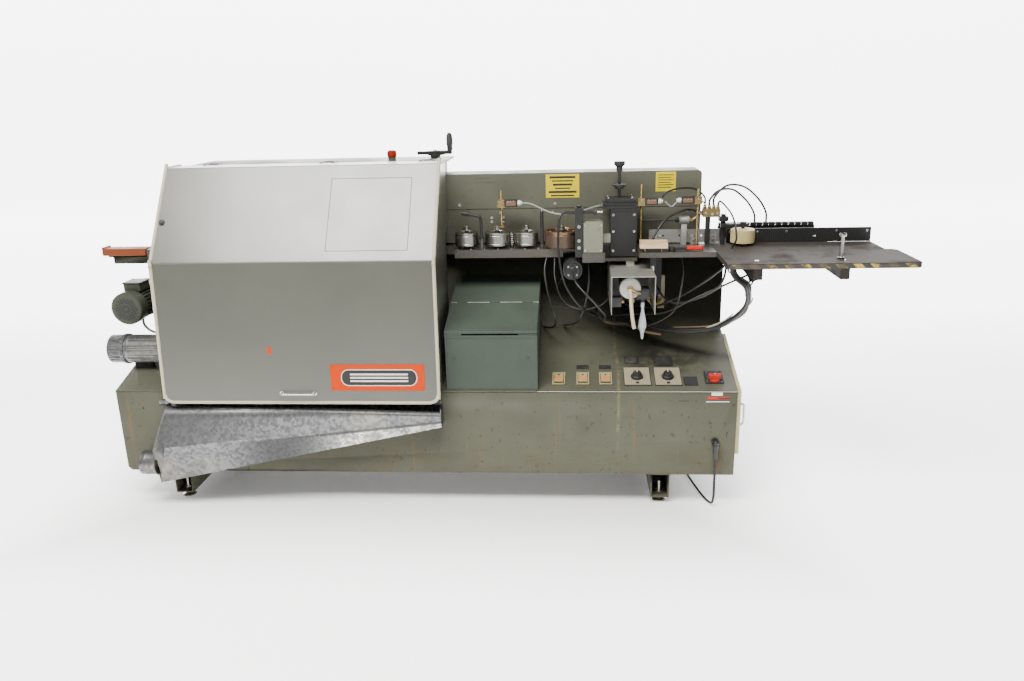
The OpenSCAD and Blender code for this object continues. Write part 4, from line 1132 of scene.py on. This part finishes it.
def thread(p, x, y, low, high, r, slot=0, pitch=2.4):
    """A threaded rod as a turned profile."""
    count = int((high - low) / pitch)
    outline = [(0, low)]
    for k in range(count):
        outline += [(r - 0.5, low + k * pitch), (r, low + (k + 0.5) * pitch)]
    p.lathe([*outline, (r - 0.6, high), (0, high)], (x, y, 0), n=14, slot=slot)


def switch_rods_look():
    """Threaded brass rods of the limit switches."""
    rods = Piece()
    rods.box(74, 112, 0, 20, 974, 978, 0.6)
    thread(rods, 103, 10, 978, 1112, 3.9)
    thread(rods, 615, 10, 906, 1122, 3.9)
    thread(rods, 818, 10, 906, 1104, 3.9)
    for x, z in ((103, 978.2), (103, 1040), (615, 898), (818, 898)):
        rods.rod((x, 10, z), (x, 10, z + 6), 8.5, bevel=0.8, n=6)
    rods.done("switch_rods_look", "frame", ["brass"], "brass", ["switch_rods"])


def limit_switches_look():
    """Switch bodies with rusty terminals and white glands."""
    limit = Piece()
    for x, low, high, way in ((103, 1047, 1078, 1), (615, 1046, 1075, 1), (818, 1049, 1077, -1)):
        a, b = sorted((x - 14 * way, x + 13 * way))
        limit.box(a, b, -4, 22, low, high, 1.4, slot=0)
        limit.bolt(((a + b) / 2, -4, (low + high) / 2 + 6), "-y", 3, 3, slot=3)
        a, b = sorted((x + 13 * way, x + 60 * way))
        limit.box(a, b, -2, 20, low + 2, high - 2, 1.6, slot=1)
        limit.box(a + 6, b - 6, -3.2, -1.6, low + 7, high - 7, 0.5, slot=4)
        for k in range(3):
            limit.rod((a + 12 + 11 * k, -4.4, high - 8), (a + 12 + 11 * k, -2, high - 8), 2.6, bevel=0.4,
                n=14, slot=3)
        limit.rod((x + 60 * way, 9, (low + high) / 2), (x + 72 * way, 9, (low + high) / 2), 9, bevel=2,
            n=28, slot=2)
        limit.rod((x + 72 * way, 9, (low + high) / 2), (x + 77 * way, 9, (low + high) / 2), 6, bevel=1,
            n=20, slot=2)
    limit.done("limit_switches_look", "frame", ["brass", "plastic", "white", "steel", "rust"],
        "black_plastic", ["limit_switches"])


def plunger_look():
    """Plunger of the glue cartridge."""
    rod = Piece()
    rod.lathe([(0, -204), (5.5, -204), (5.8, -203), (5.8, 35), (0, 35)], (534, 2, 1136), n=28)
    rod.lathe([(5.8, 1109), (14, 1109), (15.5, 1111), (16, 1116), (24, 1118.5), (25, 1120), (25, 1124),
        (23.5, 1126), (5.8, 1126.5)], (534, 2, 0), n=44)
    rod.lathe([(5.8, 1170), (9, 1170), (11, 1174), (12, 1188), (18, 1193), (20, 1196), (20, 1203),
        (18, 1206.5), (0, 1206.8)], (534, 2, 0), n=44)
    rod.done("plunger_look", "glue_plunger", ["black"], "black_metal", ["glue_plunger"])


def glue_unit_fittings():
    """Flange, screws and knobs of the glue unit."""
    unit = Piece()
    unit.box(474, 598, -46, 50, 1057, 1061.5, 1.2)
    for x, y in ((494, -28), (580, -28), (494, 36), (580, 36)):
        unit.bolt((x, y, 1078), "z", 4.5, 5, slot=1)
    for z in (890, 960, 1020):
        for x in (512, 587):
            unit.bolt((x, -40, z), "-y", 3.5, 3, slot=1)
    unit.box(505, 594, -42.5, -39.8, 1035, 1042, 0.8)
    unit.rod((388, -97, 1056), (388, -97, 1064), 9, bevel=1.5, n=32)
    unit.rod((440, -98, 1040), (452, -98, 1040), 9, bevel=1.5, n=28)
    unit.rod((452, -98, 1040), (470, -98, 1040), 3.5, n=16, slot=1)
    for z in (915, 940, 990):
        unit.bolt((388, -112, z), "-y", 4.5, 4, slot=1)
    unit.hose([(253, -22, 905), (253, -22, 1000), (253, -22, 1034)], 4, 6.5, 18)
    unit.done("glue_unit_fittings", "frame", ["black", "steel"], "black_metal")


def glue_case_screws():
    """Screws and foot of the light glue case."""
    case = Piece()
    for x in (410, 466):
        for z in (906, 996):
            case.bolt((x, -120, z), "-y", 3, 2.5)
    case.box(400, 476, -123.5, -118.5, 863, 897, 1.0, slot=1)
    case.done("glue_case_screws", "frame", ["steel", "iron"], "light_grey")


def glue_motor_look():
    """Round ribbed motor under the bed."""
    gear = Piece()
    gear.lathe([(0, -121), (12, -121), (14, -119), (26, -117), (28, -114), (28, -108)], (365, 0, 832),
        "y", n=48)
    ribs = [(28, -108)]
    for k in range(9):
        ribs += [(35, -107 + 13 * k), (35, -101 + 13 * k), (30.5, -100 + 13 * k), (30.5, -95 + 13 * k)]
    gear.lathe([*ribs, (30, 30), (0, 30)], (365, 0, 832), "y", n=56)
    gear.box(343, 387, 20, 104, 810, 854, 2)
    for k in range(4):
        a = math.radians(45 + 90 * k)
        gear.bolt((365 + 21 * math.cos(a), -117, 832 + 21 * math.sin(a)), "-y", 2.8, 3, slot=1)
    gear.done("glue_motor_look", "frame", ["plastic", "steel"], "black_metal", ["glue_motor"])


def pump_and_solenoid():
    """Pump disc, solenoid, beige hose and clouded filter bowl."""
    pump = Piece()
    pump.rod((565, -198, 788), (565, -60, 788), 33, n=56, bevel=1.5, slot=1)
    pump.lathe([(0, -214), (30, -214), (36, -212), (38, -209), (38, -201), (34, -198), (0, -198)],
        (565, 0, 788), "y", n=64)
    pump.lathe([(0, -219), (9, -219), (11, -217), (11, -213)], (565, 0, 788), "y", n=32, slot=2)
    for k in range(3):
        a = math.radians(90 + 120 * k)
        pump.bolt((565 + 28 * math.cos(a), -213.5, 788 + 28 * math.sin(a)), "-y", 2.6, 2.6, slot=3)
    pump.box(550, 580, -150, -100, 815, 833, 1, slot=1)
    pump.box(583, 633, -212, -160, 748, 786, 2.5, 3, slot=1)
    pump.box(590, 626, -215, -210, 754, 780, 1, slot=1)
    pump.hose([(570, -216, 782), (584, -222, 776), (600, -218, 772)], 5, 5.5, 14, slot=2)
    pump.hose([(563, -219, 786), (566, -226, 770), (568, -226, 740), (571, -222, 705), (576, -222, 668),
        (580, -224, 646)], 6, 6.5, 16, slot=4)
    pump.rod((571, -223, 742), (571, -223, 756), 9, bevel=1.2, n=24, slot=2)
    pump.lathe([(0, 738), (6, 738), (7, 726), (5, 712), (6, 700), (13, 668), (14.5, 645), (12.5, 643),
        (0, 643)], (610, -200, 0), n=36, slot=5)
    pump.lathe([(0, 602), (4, 602), (5, 612), (8, 630), (12.5, 643), (0, 643)], (610, -200, 0), n=32,
        slot=5)
    pump.rod((610, -200, 736), (610, -200, 750), 7, n=20, slot=1)
    pump.box(501.5, 536, -206, -172, 720, 754, 2, slot=1)
    pump.rod((536, -190, 737), (546, -190, 737), 7, bevel=1, n=24, slot=2)
    pump.done("pump_and_solenoid", "frame", ["disc", "plastic", "brass", "steel", "beige", "clear"],
        "light_grey", ["pump_motor"])


def cover_box_painted_shade():
    """Black sheet on the back wall inside the cover box: painted shade where the wall lies in shadow."""
    liner = Piece()
    liner.box(502.5, 647.5, 101.5, 103.8, 664, 832, 0.4)
    liner.done("cover_box_painted_shade", "frame", ["ink"], "cover_sheet")


def air_fittings_look():
    """Brass manifold and the two air posts."""
    air = Piece()
    air.box(850, 866, 12, 32, 898, 1000, 1.2, slot=1)
    air.box(838, 900, 8, 40, 1000, 1030, 1.5, slot=0)
    for x in (846, 862, 878, 893):
        air.rod((x, 24, 1030), (x, 24, 1036), 7.6, bevel=0.7, n=6, slot=0)
        air.rod((x, 24, 1036), (x, 24, 1042), 6, bevel=0.8, n=20, slot=2)
    air.rod((838, 24, 1014), (831, 24, 1014), 8, bevel=0.8, n=6, slot=0)
    air.rod((831, 24, 1014), (824, 24, 1014), 6, bevel=0.8, n=20, slot=2)
    air.rod((870, 8, 1014), (870, 1, 1014), 8, bevel=0.8, n=6, slot=0)
    air.rod((870, 1, 1014), (870, -5, 1014), 5.6, bevel=0.8, n=20, slot=2)
    for x in (848, 889):
        air.bolt((x, 8, 1015), "-y", 3.5, 3, slot=2)
    for x in (1065, 1108):
        air.rod((x, 205, 898), (x, 205, 906), 11, bevel=1, n=6, slot=0)
        air.rod((x, 205, 906), (x, 205, 940), 6.5, n=24, slot=0)
        air.rod((x, 205, 940), (x, 205, 950), 8, bevel=1, n=6, slot=2)
    air.done("air_fittings_look", "frame", ["brass", "black", "steel"], "brass", ["air_fittings"])


def cylinder_look():
    """Air cylinder with a bellows end."""
    jack = Piece()
    bellows = [(5, 753), (12, 753)]
    for k in range(8):
        bellows += [(15.8, 755 + 4.4 * k), (13.2, 757 + 4.4 * k)]
    jack.lathe([*bellows, (12, 791), (0, 791)], (0, 20, 990), "x", n=44)
    jack.box(762, 782, 12, 28, 898, 976, 1.4)
    jack.rod((791, 20, 990), (803, 20, 990), 8, bevel=1, n=6, slot=1)
    jack.rod((803, 20, 990), (818, 20, 1000), 5, bevel=1, n=20, slot=1)
    jack.done("cylinder_look", "frame", ["alu", "brass"], "aluminium", ["cylinder_body"])


def cylinder_rod_look():
    """Its piston rod and end block."""
    stem = Piece()
    stem.rod((606, 20, 990), (768, 20, 990), 3.8, n=24)
    stem.box(599, 613, 14, 28, 983, 997, 1.5)
    stem.rod((740, 20, 990), (752, 20, 990), 8, bevel=1.2, n=24)
    stem.done("cylinder_rod_look", "cylinder_rod", ["black"], "bright_steel", ["cylinder_rod"])


def rest_block_details():
    """Blocks at the outfeed side of the glue unit and the bracket below."""
    base = Piece()
    base.box(622, 678, -122, -90, 898, 911, 1.5)
    base.rod((716, -108, 898), (716, -108, 901), 14, bevel=0.8, n=32)
    base.box(640, 660, -112, -70, 846, 880, 2)
    base.rod((650, -92, 800), (650, -92, 846), 7, n=20, slot=1)
    base.box(610, 700, 60, 103, 700, 862, 3)
    base.box(690, 716, 84, 103, 640, 770, 1.5, slot=2)
    base.hose([(646, 40, 700), (660, 20, 680), (684, 30, 668), (700, 70, 676)], 5, 8, 16, slot=3)
    base.done("rest_block_details", "frame", ["black", "steel", "cream_plate", "yellow_old"],
        "black_metal")


# ---------------------------------------------------------------- hoses and cables


def hoses_and_cables():
    """Air hoses, cables and the harness with wires wound round it."""
    HARNESS = [(905, -240, 875), (909, -240, 850), (920, -240, 830), (960, -232, 790), (962, -215, 720),
        (900, -180, 650), (820, -130, 612), (700, -60, 600), (600, 20, 622), (540, 80, 650)]
    HOSES = ((4, "hose", [(862, 24, 1040), (864, 28, 1062), (900, 60, 1090), (960, 110, 1086),
        (1020, 160, 1040), (1060, 200, 985), (1065, 205, 948)]),
        (4, "hose", [(878, 24, 1040), (880, 28, 1070), (930, 70, 1106), (1000, 120, 1096),
        (1065, 170, 1046), (1104, 200, 990), (1108, 205, 948)]),
        (3.5, "hose", [(846, 24, 1040), (844, 34, 1072), (808, 40, 1100), (750, 24, 1104), (704, 6, 1092),
        (690, 5, 1074)]), (3.5, "hose", [(893, 24, 1040), (900, 10, 1056), (935, -40, 1010),
        (945, -80, 940), (932, -70, 900)]), (4, "hose",
        [(826, 24, 1014), (798, 24, 1026), (760, 5, 1024), (700, -30, 1000), (655, -60, 940),
        (645, -62, 900)]), (9, "hose", HARNESS),
        (7, "hose", [(x, y + 18, z) for x, y, z in ((x + 8, y, z) for x, y, z in HARNESS)]),
        (5, "hose", [(x - 7, y - 15, z) for x, y, z in HARNESS]),
        (4, "hose", [(890, -130, 878), (902, -146, 848), (880, -150, 780), (800, -110, 720),
        (720, -60, 700), (680, 40, 740), (676, 98, 780)]),
        (4, "hose", [(365, -119, 832), (380, -190, 800), (440, -220, 740), (480, -180, 680),
        (470, -60, 640), (440, 98, 660)]), (4, "hose",
        [(340, -98, 1040), (318, -114, 1016), (316, -140, 900), (340, -170, 790), (400, -150, 700),
        (420, 0, 690), (400, 98, 720)]), (3, "grey_cable",
        [(180, 9, 1062), (215, 2, 1058), (300, -50, 1030), (380, -70, 1036), (440, -44, 1050),
        (478, -10, 1052)]),)
    lines = Piece()
    KEYS = ("hose", "beige", "grey_cable", "red", "brown_wire")
    for r, key, points in HOSES:
        lines.hose(points, 10, r, 16, slot=KEYS.index(key))
    # wires wound loosely round the harness
    spine = smooth_route(HARNESS, 8)
    for k, (r, reach, key) in enumerate(((3.0, 15, "brown_wire"), (2.6, 17, "beige"), (2.6, 14, "hose"),
            (2.4, 19, "grey_cable"), (2.2, 16, "red"))):
        wound = []
        for i, p in enumerate(spine):
            a = i * 0.16 + k * 1.3
            wound.append(p + Vector((reach * math.cos(a), 8 + reach * 0.8 * math.sin(a),
                reach * 0.5 * math.sin(a + k))))
        first, last = (3, -6) if key == "hose" else (26 + 3 * k, 54 - k)
        lines.tube(wound[first:last], r, 10, slot=KEYS.index(key))
    EXTRA = ((3.5, "hose", [(270, -38, 868), (262, -70, 820), (276, -100, 740), (300, -110, 660),
        (296, -60, 610), (262, 60, 572), (250, 96, 566)]),
        (3.0, "hose", [(300, -38, 868), (300, -80, 800), (330, -110, 720), (400, -120, 690),
        (470, -90, 700), (498, -60, 720)]), (4.0, "hose",
        [(420, -60, 862), (424, -90, 790), (410, -110, 710), (384, -100, 640), (352, 0, 600),
        (330, 96, 570)]), (4.5, "hose", [(936, -60, 878), (900, -80, 830), (820, -60, 760),
        (740, -20, 700), (660, 30, 660), (560, 80, 660), (500, 98, 680)]),
        (4.0, "hose", [(1090, -60, 878), (1060, -90, 840), (940, -110, 790), (800, -110, 725),
        (700, -60, 660), (600, 0, 640), (480, 60, 620), (420, 98, 640)]),
        (3.0, "hose", [(1020, -150, 878), (1010, -170, 850), (980, -200, 820), (966, -190, 770),
        (1000, -150, 800), (1030, -130, 850), (1034, -120, 878)]),
        (3.0, "hose", [(760, -20, 866), (764, -60, 800), (740, -90, 690), (690, -90, 640),
        (620, -60, 610), (520, 0, 606), (380, 90, 640)]),
        (5.0, "brown_wire", [(690, -60, 578), (640, -64, 588), (600, -40, 600), (560, 0, 600),
        (500, 60, 590), (470, 98, 600)]), (3.0, "hose",
        [(345, 30, 815), (320, 20, 770), (300, 60, 720), (310, 98, 690)]),
        (3.0, "grey_cable", [(700, 9, 1060), (712, 10, 1048), (726, 12, 1040), (742, 11, 1056)]),
        (2.6, "hose", [(828, 9, 1060), (842, 10, 1052), (846, 14, 1040)]),)
    for r, key, points in EXTRA:
        lines.hose(points, 8, r, 12, slot=KEYS.index(key))
    lines.rod((936, -60, 862), (936, -60, 880), 11, bevel=2, n=24)
    lines.box(900, 912, -256, -222, 872, 880, 1)
    lines.done("hoses_and_cables", "frame", KEYS, "hose_rubber", ["air_hoses"], 60)


def corrugated_sleeve():
    """Corrugated sleeve at the harness's top."""
    sleeve = Piece()
    pipe = [(948, -215, 872), (962, -218, 856), (976, -220, 838), (984, -220, 816)]
    course = smooth_route(pipe, 8)
    for k, p in enumerate(course[:-1]):
        sleeve.rod(p, course[k + 1], 17 if k % 2 else 14.5, n=24, bevel=0.8, seg=1)
    sleeve.done("corrugated_sleeve", "frame", ["rubber"], "black_rubber")


# ---------------------------------------------------------------- crank, grip, stop button, hood stay bits


def crank_look():
    """Cast crank of the height adjustment."""
    crank = Piece()
    crank.rod((-151, 120, 960), (-151, 120, 1236), 9.9, n=32)
    crank.rod((-151, 120, 1222.5), (-151, 120, 1236), 17.5, bevel=1.5, n=40)
    crank.lathe([(0, 1252), (7, 1252), (8, 1250), (15, 1249), (16, 1247), (16, 1236), (0, 1236)],
        (-151, 120, 0), n=40)
    crank.prism([(-213, 1239), (-211, 1247), (-150, 1250), (-88, 1249), (-85, 1241), (-90, 1237),
        (-112, 1236), (-133.5, 1231), (-133.5, 1223), (-168.5, 1223), (-168.5, 1231), (-185, 1236),
        (-208, 1236)], "y", 112, 128, 2.5, 3)
    crank.rod((-209, 120, 1236), (-209, 120, 1248), 11, bevel=3, n=32)
    crank.rod((-95, 120, 1236), (-95, 120, 1313.5), 4.9, n=24)
    crank.rod((-95, 120, 1310.6), (-95, 120, 1314), 8, bevel=1, n=24)
    crank.done("crank_look", "handwheel", ["black"], "black_metal", ["handwheel"])


def crank_grip_look():
    """Turning grip on the crank."""
    grip = Piece()
    grip.lathe([(5.2, 1249), (9, 1249), (10.5, 1251), (10, 1258), (12, 1275), (12, 1292), (10.5, 1304),
        (8.5, 1309), (5.2, 1310.4)], (-95, 120, 0), n=40)
    grip.done("crank_grip_look", "crank_grip", ["plastic"], "black_plastic", ["crank_grip"])


def stop_button_look():
    """Red stop button on its stem."""
    stop = Piece()
    stop.rod((-317, 120, 1221.5), (-317, 120, 1238), 4.8, n=20, slot=1)
    stop.lathe([(0, 1230), (16.5, 1230), (17.6, 1231), (18, 1233), (18, 1247), (17, 1250.5), (13, 1253.5),
        (6, 1255), (0, 1255.2)], (-317, 120, 0), n=48)
    stop.done("stop_button_look", "stop_button", ["dark_red", "plastic"], "red_plastic", ["stop_button"])


# ---------------------------------------------------------------- trimming units and the machine's back


def saw_blade_look():
    """End saw on its shaft."""
    saw = Piece()
    saw.rod((-300, -20, 784), (-300, -20, 858), 9.9, n=28)
    saw.rod((-300, -20, 812), (-300, -20, 850), 14, bevel=1, n=36)
    saw.rod((-300, -20, 853), (-300, -20, 860), 16, bevel=1, n=6)
    disc = []
    for k in range(36):
        a = 2 * math.pi * k / 36
        disc += [(-300 + 63 * math.cos(a), -20 + 63 * math.sin(a)),
            (-300 + 67.8 * math.cos(a + 0.02), -20 + 67.8 * math.sin(a + 0.02)),
            (-300 + 67.5 * math.cos(a + 0.09), -20 + 67.5 * math.sin(a + 0.09))]
    saw.prism(disc, "z", 850.3, 852.7, 0.0)
    saw.done("saw_blade_look", "saw_blade", ["steel"], "bright_steel", ["saw_blade"])


def trim_cutter_look():
    """Edge trimming cutter on its shaft."""
    cutter = Piece()
    cutter.rod((-600, -45, 908), (-600, -45, 986), 9.9, n=28)
    cutter.rod((-600, -45, 936), (-600, -45, 959), 14, bevel=1, n=36)
    cutter.lathe([(10, 908), (36, 908), (38, 910), (38, 934), (36, 936), (10, 936)], (-600, -45, 0), n=48)
    for k in range(4):
        turn = Matrix.Translation((-600, -45, 0)) @ Matrix.Rotation(math.radians(90 * k + 8), 4, "Z")
        cutter.box(34, 39.8, -2, 2, 909, 935, 0.4, matrix=turn, slot=1)
        cutter.bolt((37.6, 12, 922), "x", 3, 2, matrix=turn, slot=0)
    cutter.done("trim_cutter_look", "trim_cutter", ["steel", "brass"], "bright_steel", ["trim_cutter"])


def trim_unit_details():
    """Fins, end caps, slide, polishing mop and cables of the trimming units."""
    heads = Piece()
    for x, y, low, high in ((-300, -20, 662, 805), (-600, -45, 992, 1108)):
        for k in range(24):
            turn = Matrix.Translation((x, y, 0)) @ Matrix.Rotation(2 * math.pi * k / 24, 4, "Z")
            heads.box(49.5, 55, -1.2, 1.2, low + 8, high - 12, 0.4, matrix=turn)
    for x, y, z in ((-600, -45, 1110), (-300, -20, 652)):
        heads.lathe([(0, z), (50, z), (53, z + 3), (53, z + 8), (50, z + 10), (0, z + 10)], (x, y, 0),
            n=48)
    heads.box(-640, -560, -118, -112, 1010, 1070, 2, slot=1)
    for x in (-615, -585):
        for z in (1016, 1046):
            heads.bolt((x, -150, z), "-y", 4.5, 4, slot=1)
    heads.rod((-860, -60, 815), (-860, -78, 815), 34, bevel=3, n=44, slot=1)
    for k in range(12):
        turn = Matrix.Translation((-860, -20, 870)) @ Matrix.Rotation(math.radians(30 * k), 4, "Z")
        heads.box(10, 44, -3, 3, 0, 26, 1.5, matrix=turn, slot=3)
    heads.rod((-860, -20, 866), (-860, -20, 900), 12, bevel=1, n=28, slot=1)
    heads.hose([(-300, 20, 665), (-330, 60, 640), (-400, 90, 620), (-470, 100, 650), (-520, 100, 740)], 6,
        6, 14, slot=2)
    heads.hose([(-600, -20, 1112), (-610, 0, 1150), (-640, 30, 1170), (-690, 40, 1160), (-700, 60, 1100)],
        6, 6, 14, slot=2)
    heads.done("trim_unit_details", "frame", ["light", "steel", "hose", "white"], "light_grey")


def service_opening_rim():
    """Screwed rim round the cabinet's rear service opening."""
    back = Piece()
    for x0, x1, z0, z1 in ((-522, 522, 700, 722), (-522, 522, 178, 200), (-522, -500, 200, 700),
            (500, 522, 200, 700)):
        back.box(x0, x1, 388, 392, z0, z1, 1.2)
    for x0, x1, z0, z1 in ((-502, 502, 699, 702), (-502, 502, 198, 201), (-502, -499, 200, 700),
            (499, 502, 200, 700)):
        back.box(x0, x1, 374, 391, z0, z1, 0.8)
    for x in range(-480, 481, 160):
        for z in (189, 711):
            back.bolt((x, 391.5, z), "y", 4.5, 3.5, slot=1)
    for x in (-511, 511):
        for z in range(250, 651, 100):
            back.bolt((x, 391.5, z), "y", 4.5, 3.5, slot=1)
    back.done("service_opening_rim", "frame", ["machine", "steel"], "machine_paint")


# ---------------------------------------------------------------- everything is made, in this order
PARTS = (hood_skin, edge_trim, wire_handle, hood_lock, badge_plate, badge_mark, hood_tag, label_ghost,
    beam_covers, beam_bolts, beam_notices, pressure_shoe, pressure_rollers, glue_applicator_roller,
    tape_feed_roller, roller_caps, clamp_handle, red_grip, base_cabinet, base_labels, worn_edge,
    feet_look, softened_parts, beam_body, side_door_look, side_door_pull, table_look, table_stripes,
    guide_pin_and_screws, fence_ribs, chain_pads, toolbox_lid, toolbox_seam, toolbox_rim, panel_fittings,
    dials, rocker_caps, main_switch, side_motor_look, duct_pipe, duct_body, chip_chute, switch_rods_look,
    limit_switches_look, plunger_look, glue_unit_fittings, glue_case_screws, glue_motor_look,
    pump_and_solenoid, cover_box_painted_shade, air_fittings_look, cylinder_look, cylinder_rod_look,
    rest_block_details, hoses_and_cables, corrugated_sleeve, crank_look, crank_grip_look,
    stop_button_look, saw_blade_look, trim_cutter_look, trim_unit_details, service_opening_rim)
for make_part in PARTS:
    make_part()


# ---------------------------------------------------------------- finishes of the CAD parts
FINISH = {"cabinet": "machine", "levelling_feet": "steel", "bed": "iron", "portal": "beam",
    "feed_chain": "pads", "infeed_table": "table", "infeed_fence": "black", "alu_fence": "alu",
    "fence_post": "black", "roller_plate": "iron", "glue_cartridge": "black", "glue_box": "light",
    "glue_tower": "black", "glue_motor": "black", "cover_box": "cover", "pump_motor": "light",
    "switch_rods": "brass", "limit_switches": "plastic", "cylinder_body": "alu", "air_fittings": "brass",
    "air_hoses": "hose", "toolbox": "box", "panel_plates": "plastic", "chute": "zinc",
    "dust_duct": "zinc", "side_motor": "motor", "outfeed_bar": "bar", "wood_block": "wood",
    "cord_gland": "plastic", "power_cord": "rubber", "cord_coil": "rubber", "plug": "plastic",
    "trim_units": "light", "saw_blade": "steel", "trim_cutter": "steel", "stop_button": "red",
    "beam": "beam", "handwheel": "black", "crank_grip": "plastic", "hood_shell": "hood",
    "hood_trim": "cream", "hood_handle": "steel", "hood_badge": "orange", "box_lid": "box",
    "side_door": "cream", "roller_1": "turned", "roller_2": "turned", "roller_3": "turned",
    "glue_roller": "copper", "tape_roller": "urethane", "glue_plunger": "black", "cylinder_rod": "steel",
    "rocker_1": "rocker", "rocker_2": "rocker", "rocker_3": "rocker", "knob_1": "plastic",
    "knob_2": "plastic", "main_knob": "red", "clamp_lever": "black", "red_lever": "red"}
for node, key in FINISH.items():
    for place in NODES[node].material_slots:
        place.material = M[key]


# ---------------------------------------------------------------- floor and light
floor_mesh = bpy.data.meshes.new("floor")
bm = bmesh.new()
ROOM, BEND_R, WALL = 16.0, 3.0, 9.0
profile = [(-ROOM, 0.0), (7.0, 0.0)]
profile += [(7.0 + BEND_R * math.sin(a), BEND_R - BEND_R * math.cos(a))
    for a in (k * math.pi / 24 for k in range(1, 13))]
profile += [(7.0 + BEND_R, WALL)]
sweep = [bm.verts.new((-ROOM, y, z)) for y, z in profile]
strip = [bm.edges.new(pair) for pair in zip(sweep, sweep[1:])]
made = bmesh.ops.extrude_edge_only(bm, edges=strip)["geom"]
pulled = [v for v in made if isinstance(v, bmesh.types.BMVert)]
bmesh.ops.translate(bm, vec=(2 * ROOM, 0, 0), verts=pulled)
bm.to_mesh(floor_mesh)
bm.free()
floor = bpy.data.objects.new("floor", floor_mesh)
SCENE.collection.objects.link(floor)
floor_graph = Graph("floor", 0.8, 0.0, 0.0, (0.92, 0.92, 0.92))
# The floor and backdrop emit light and light the machine from below; their emission is painted dim round the
# machine's footprint as a soft painted shadow, dimmer towards the camera and brighter towards the back wall.
away_x = (floor_graph.axis(0) + 0.2).size() - 0.93
away_y = (floor_graph.axis(1) + 0.05).size() - 0.30
floor_glow_and_painted_shadow = floor_graph.band(away_x.most(away_y), -0.15, 0.65, 0.03, 1.0)
floor_glow_and_painted_shadow = floor_glow_and_painted_shadow * floor_graph.band(floor_graph.axis(1), -2.1, -1.3, 0.10, 0.55)
floor_glow_and_painted_shadow = floor_glow_and_painted_shadow * floor_graph.band(floor_graph.axis(1), 0.6, 3.5, 1.0, 2.0)
floor_graph.set("Emission Color", floor_graph.mix(floor_glow_and_painted_shadow, (0.0, 0.0, 0.0), (1.0, 1.0, 1.0)))
floor_graph.set("Emission Strength", 4.8)
floor_mesh.materials.append(floor_graph.mat)
floor_mesh.shade_smooth()

world = bpy.data.worlds.new("studio")
SCENE.world = world
world.use_nodes = True
world.node_tree.nodes["Background"].inputs["Color"].default_value = (1.0, 1.0, 1.0, 1.0)
world.node_tree.nodes["Background"].inputs["Strength"].default_value = 0.40


def lamp(name, at, aim, size, power, colour=(1, 1, 1)):
    """A flat lamp at one spot, aimed at another."""
    data = bpy.data.lights.new(name, "AREA")
    data.shape = "RECTANGLE"
    data.size, data.size_y = size
    data.energy = power
    data.color = colour
    obj = bpy.data.objects.new(name, data)
    SCENE.collection.objects.link(obj)
    obj.location = at
    obj.rotation_euler = (Vector(aim) - Vector(at)).to_track_quat("-Z", "Y").to_euler()


lamp("key", (-1.4, -5.0, 2.6), (-0.1, 0.0, 0.8), (1.0, 1.0), 6.0)
lamp("top", (-0.70, -1.90, 4.05), (-0.6, -0.2, 1.1), (3.4, 1.4), 385.0, (1.0, 0.985, 0.94))
lamp("back", (0.0, 4.4, 3.2), (0.0, 0.0, 0.8), (3.0, 3.0), 30.0)
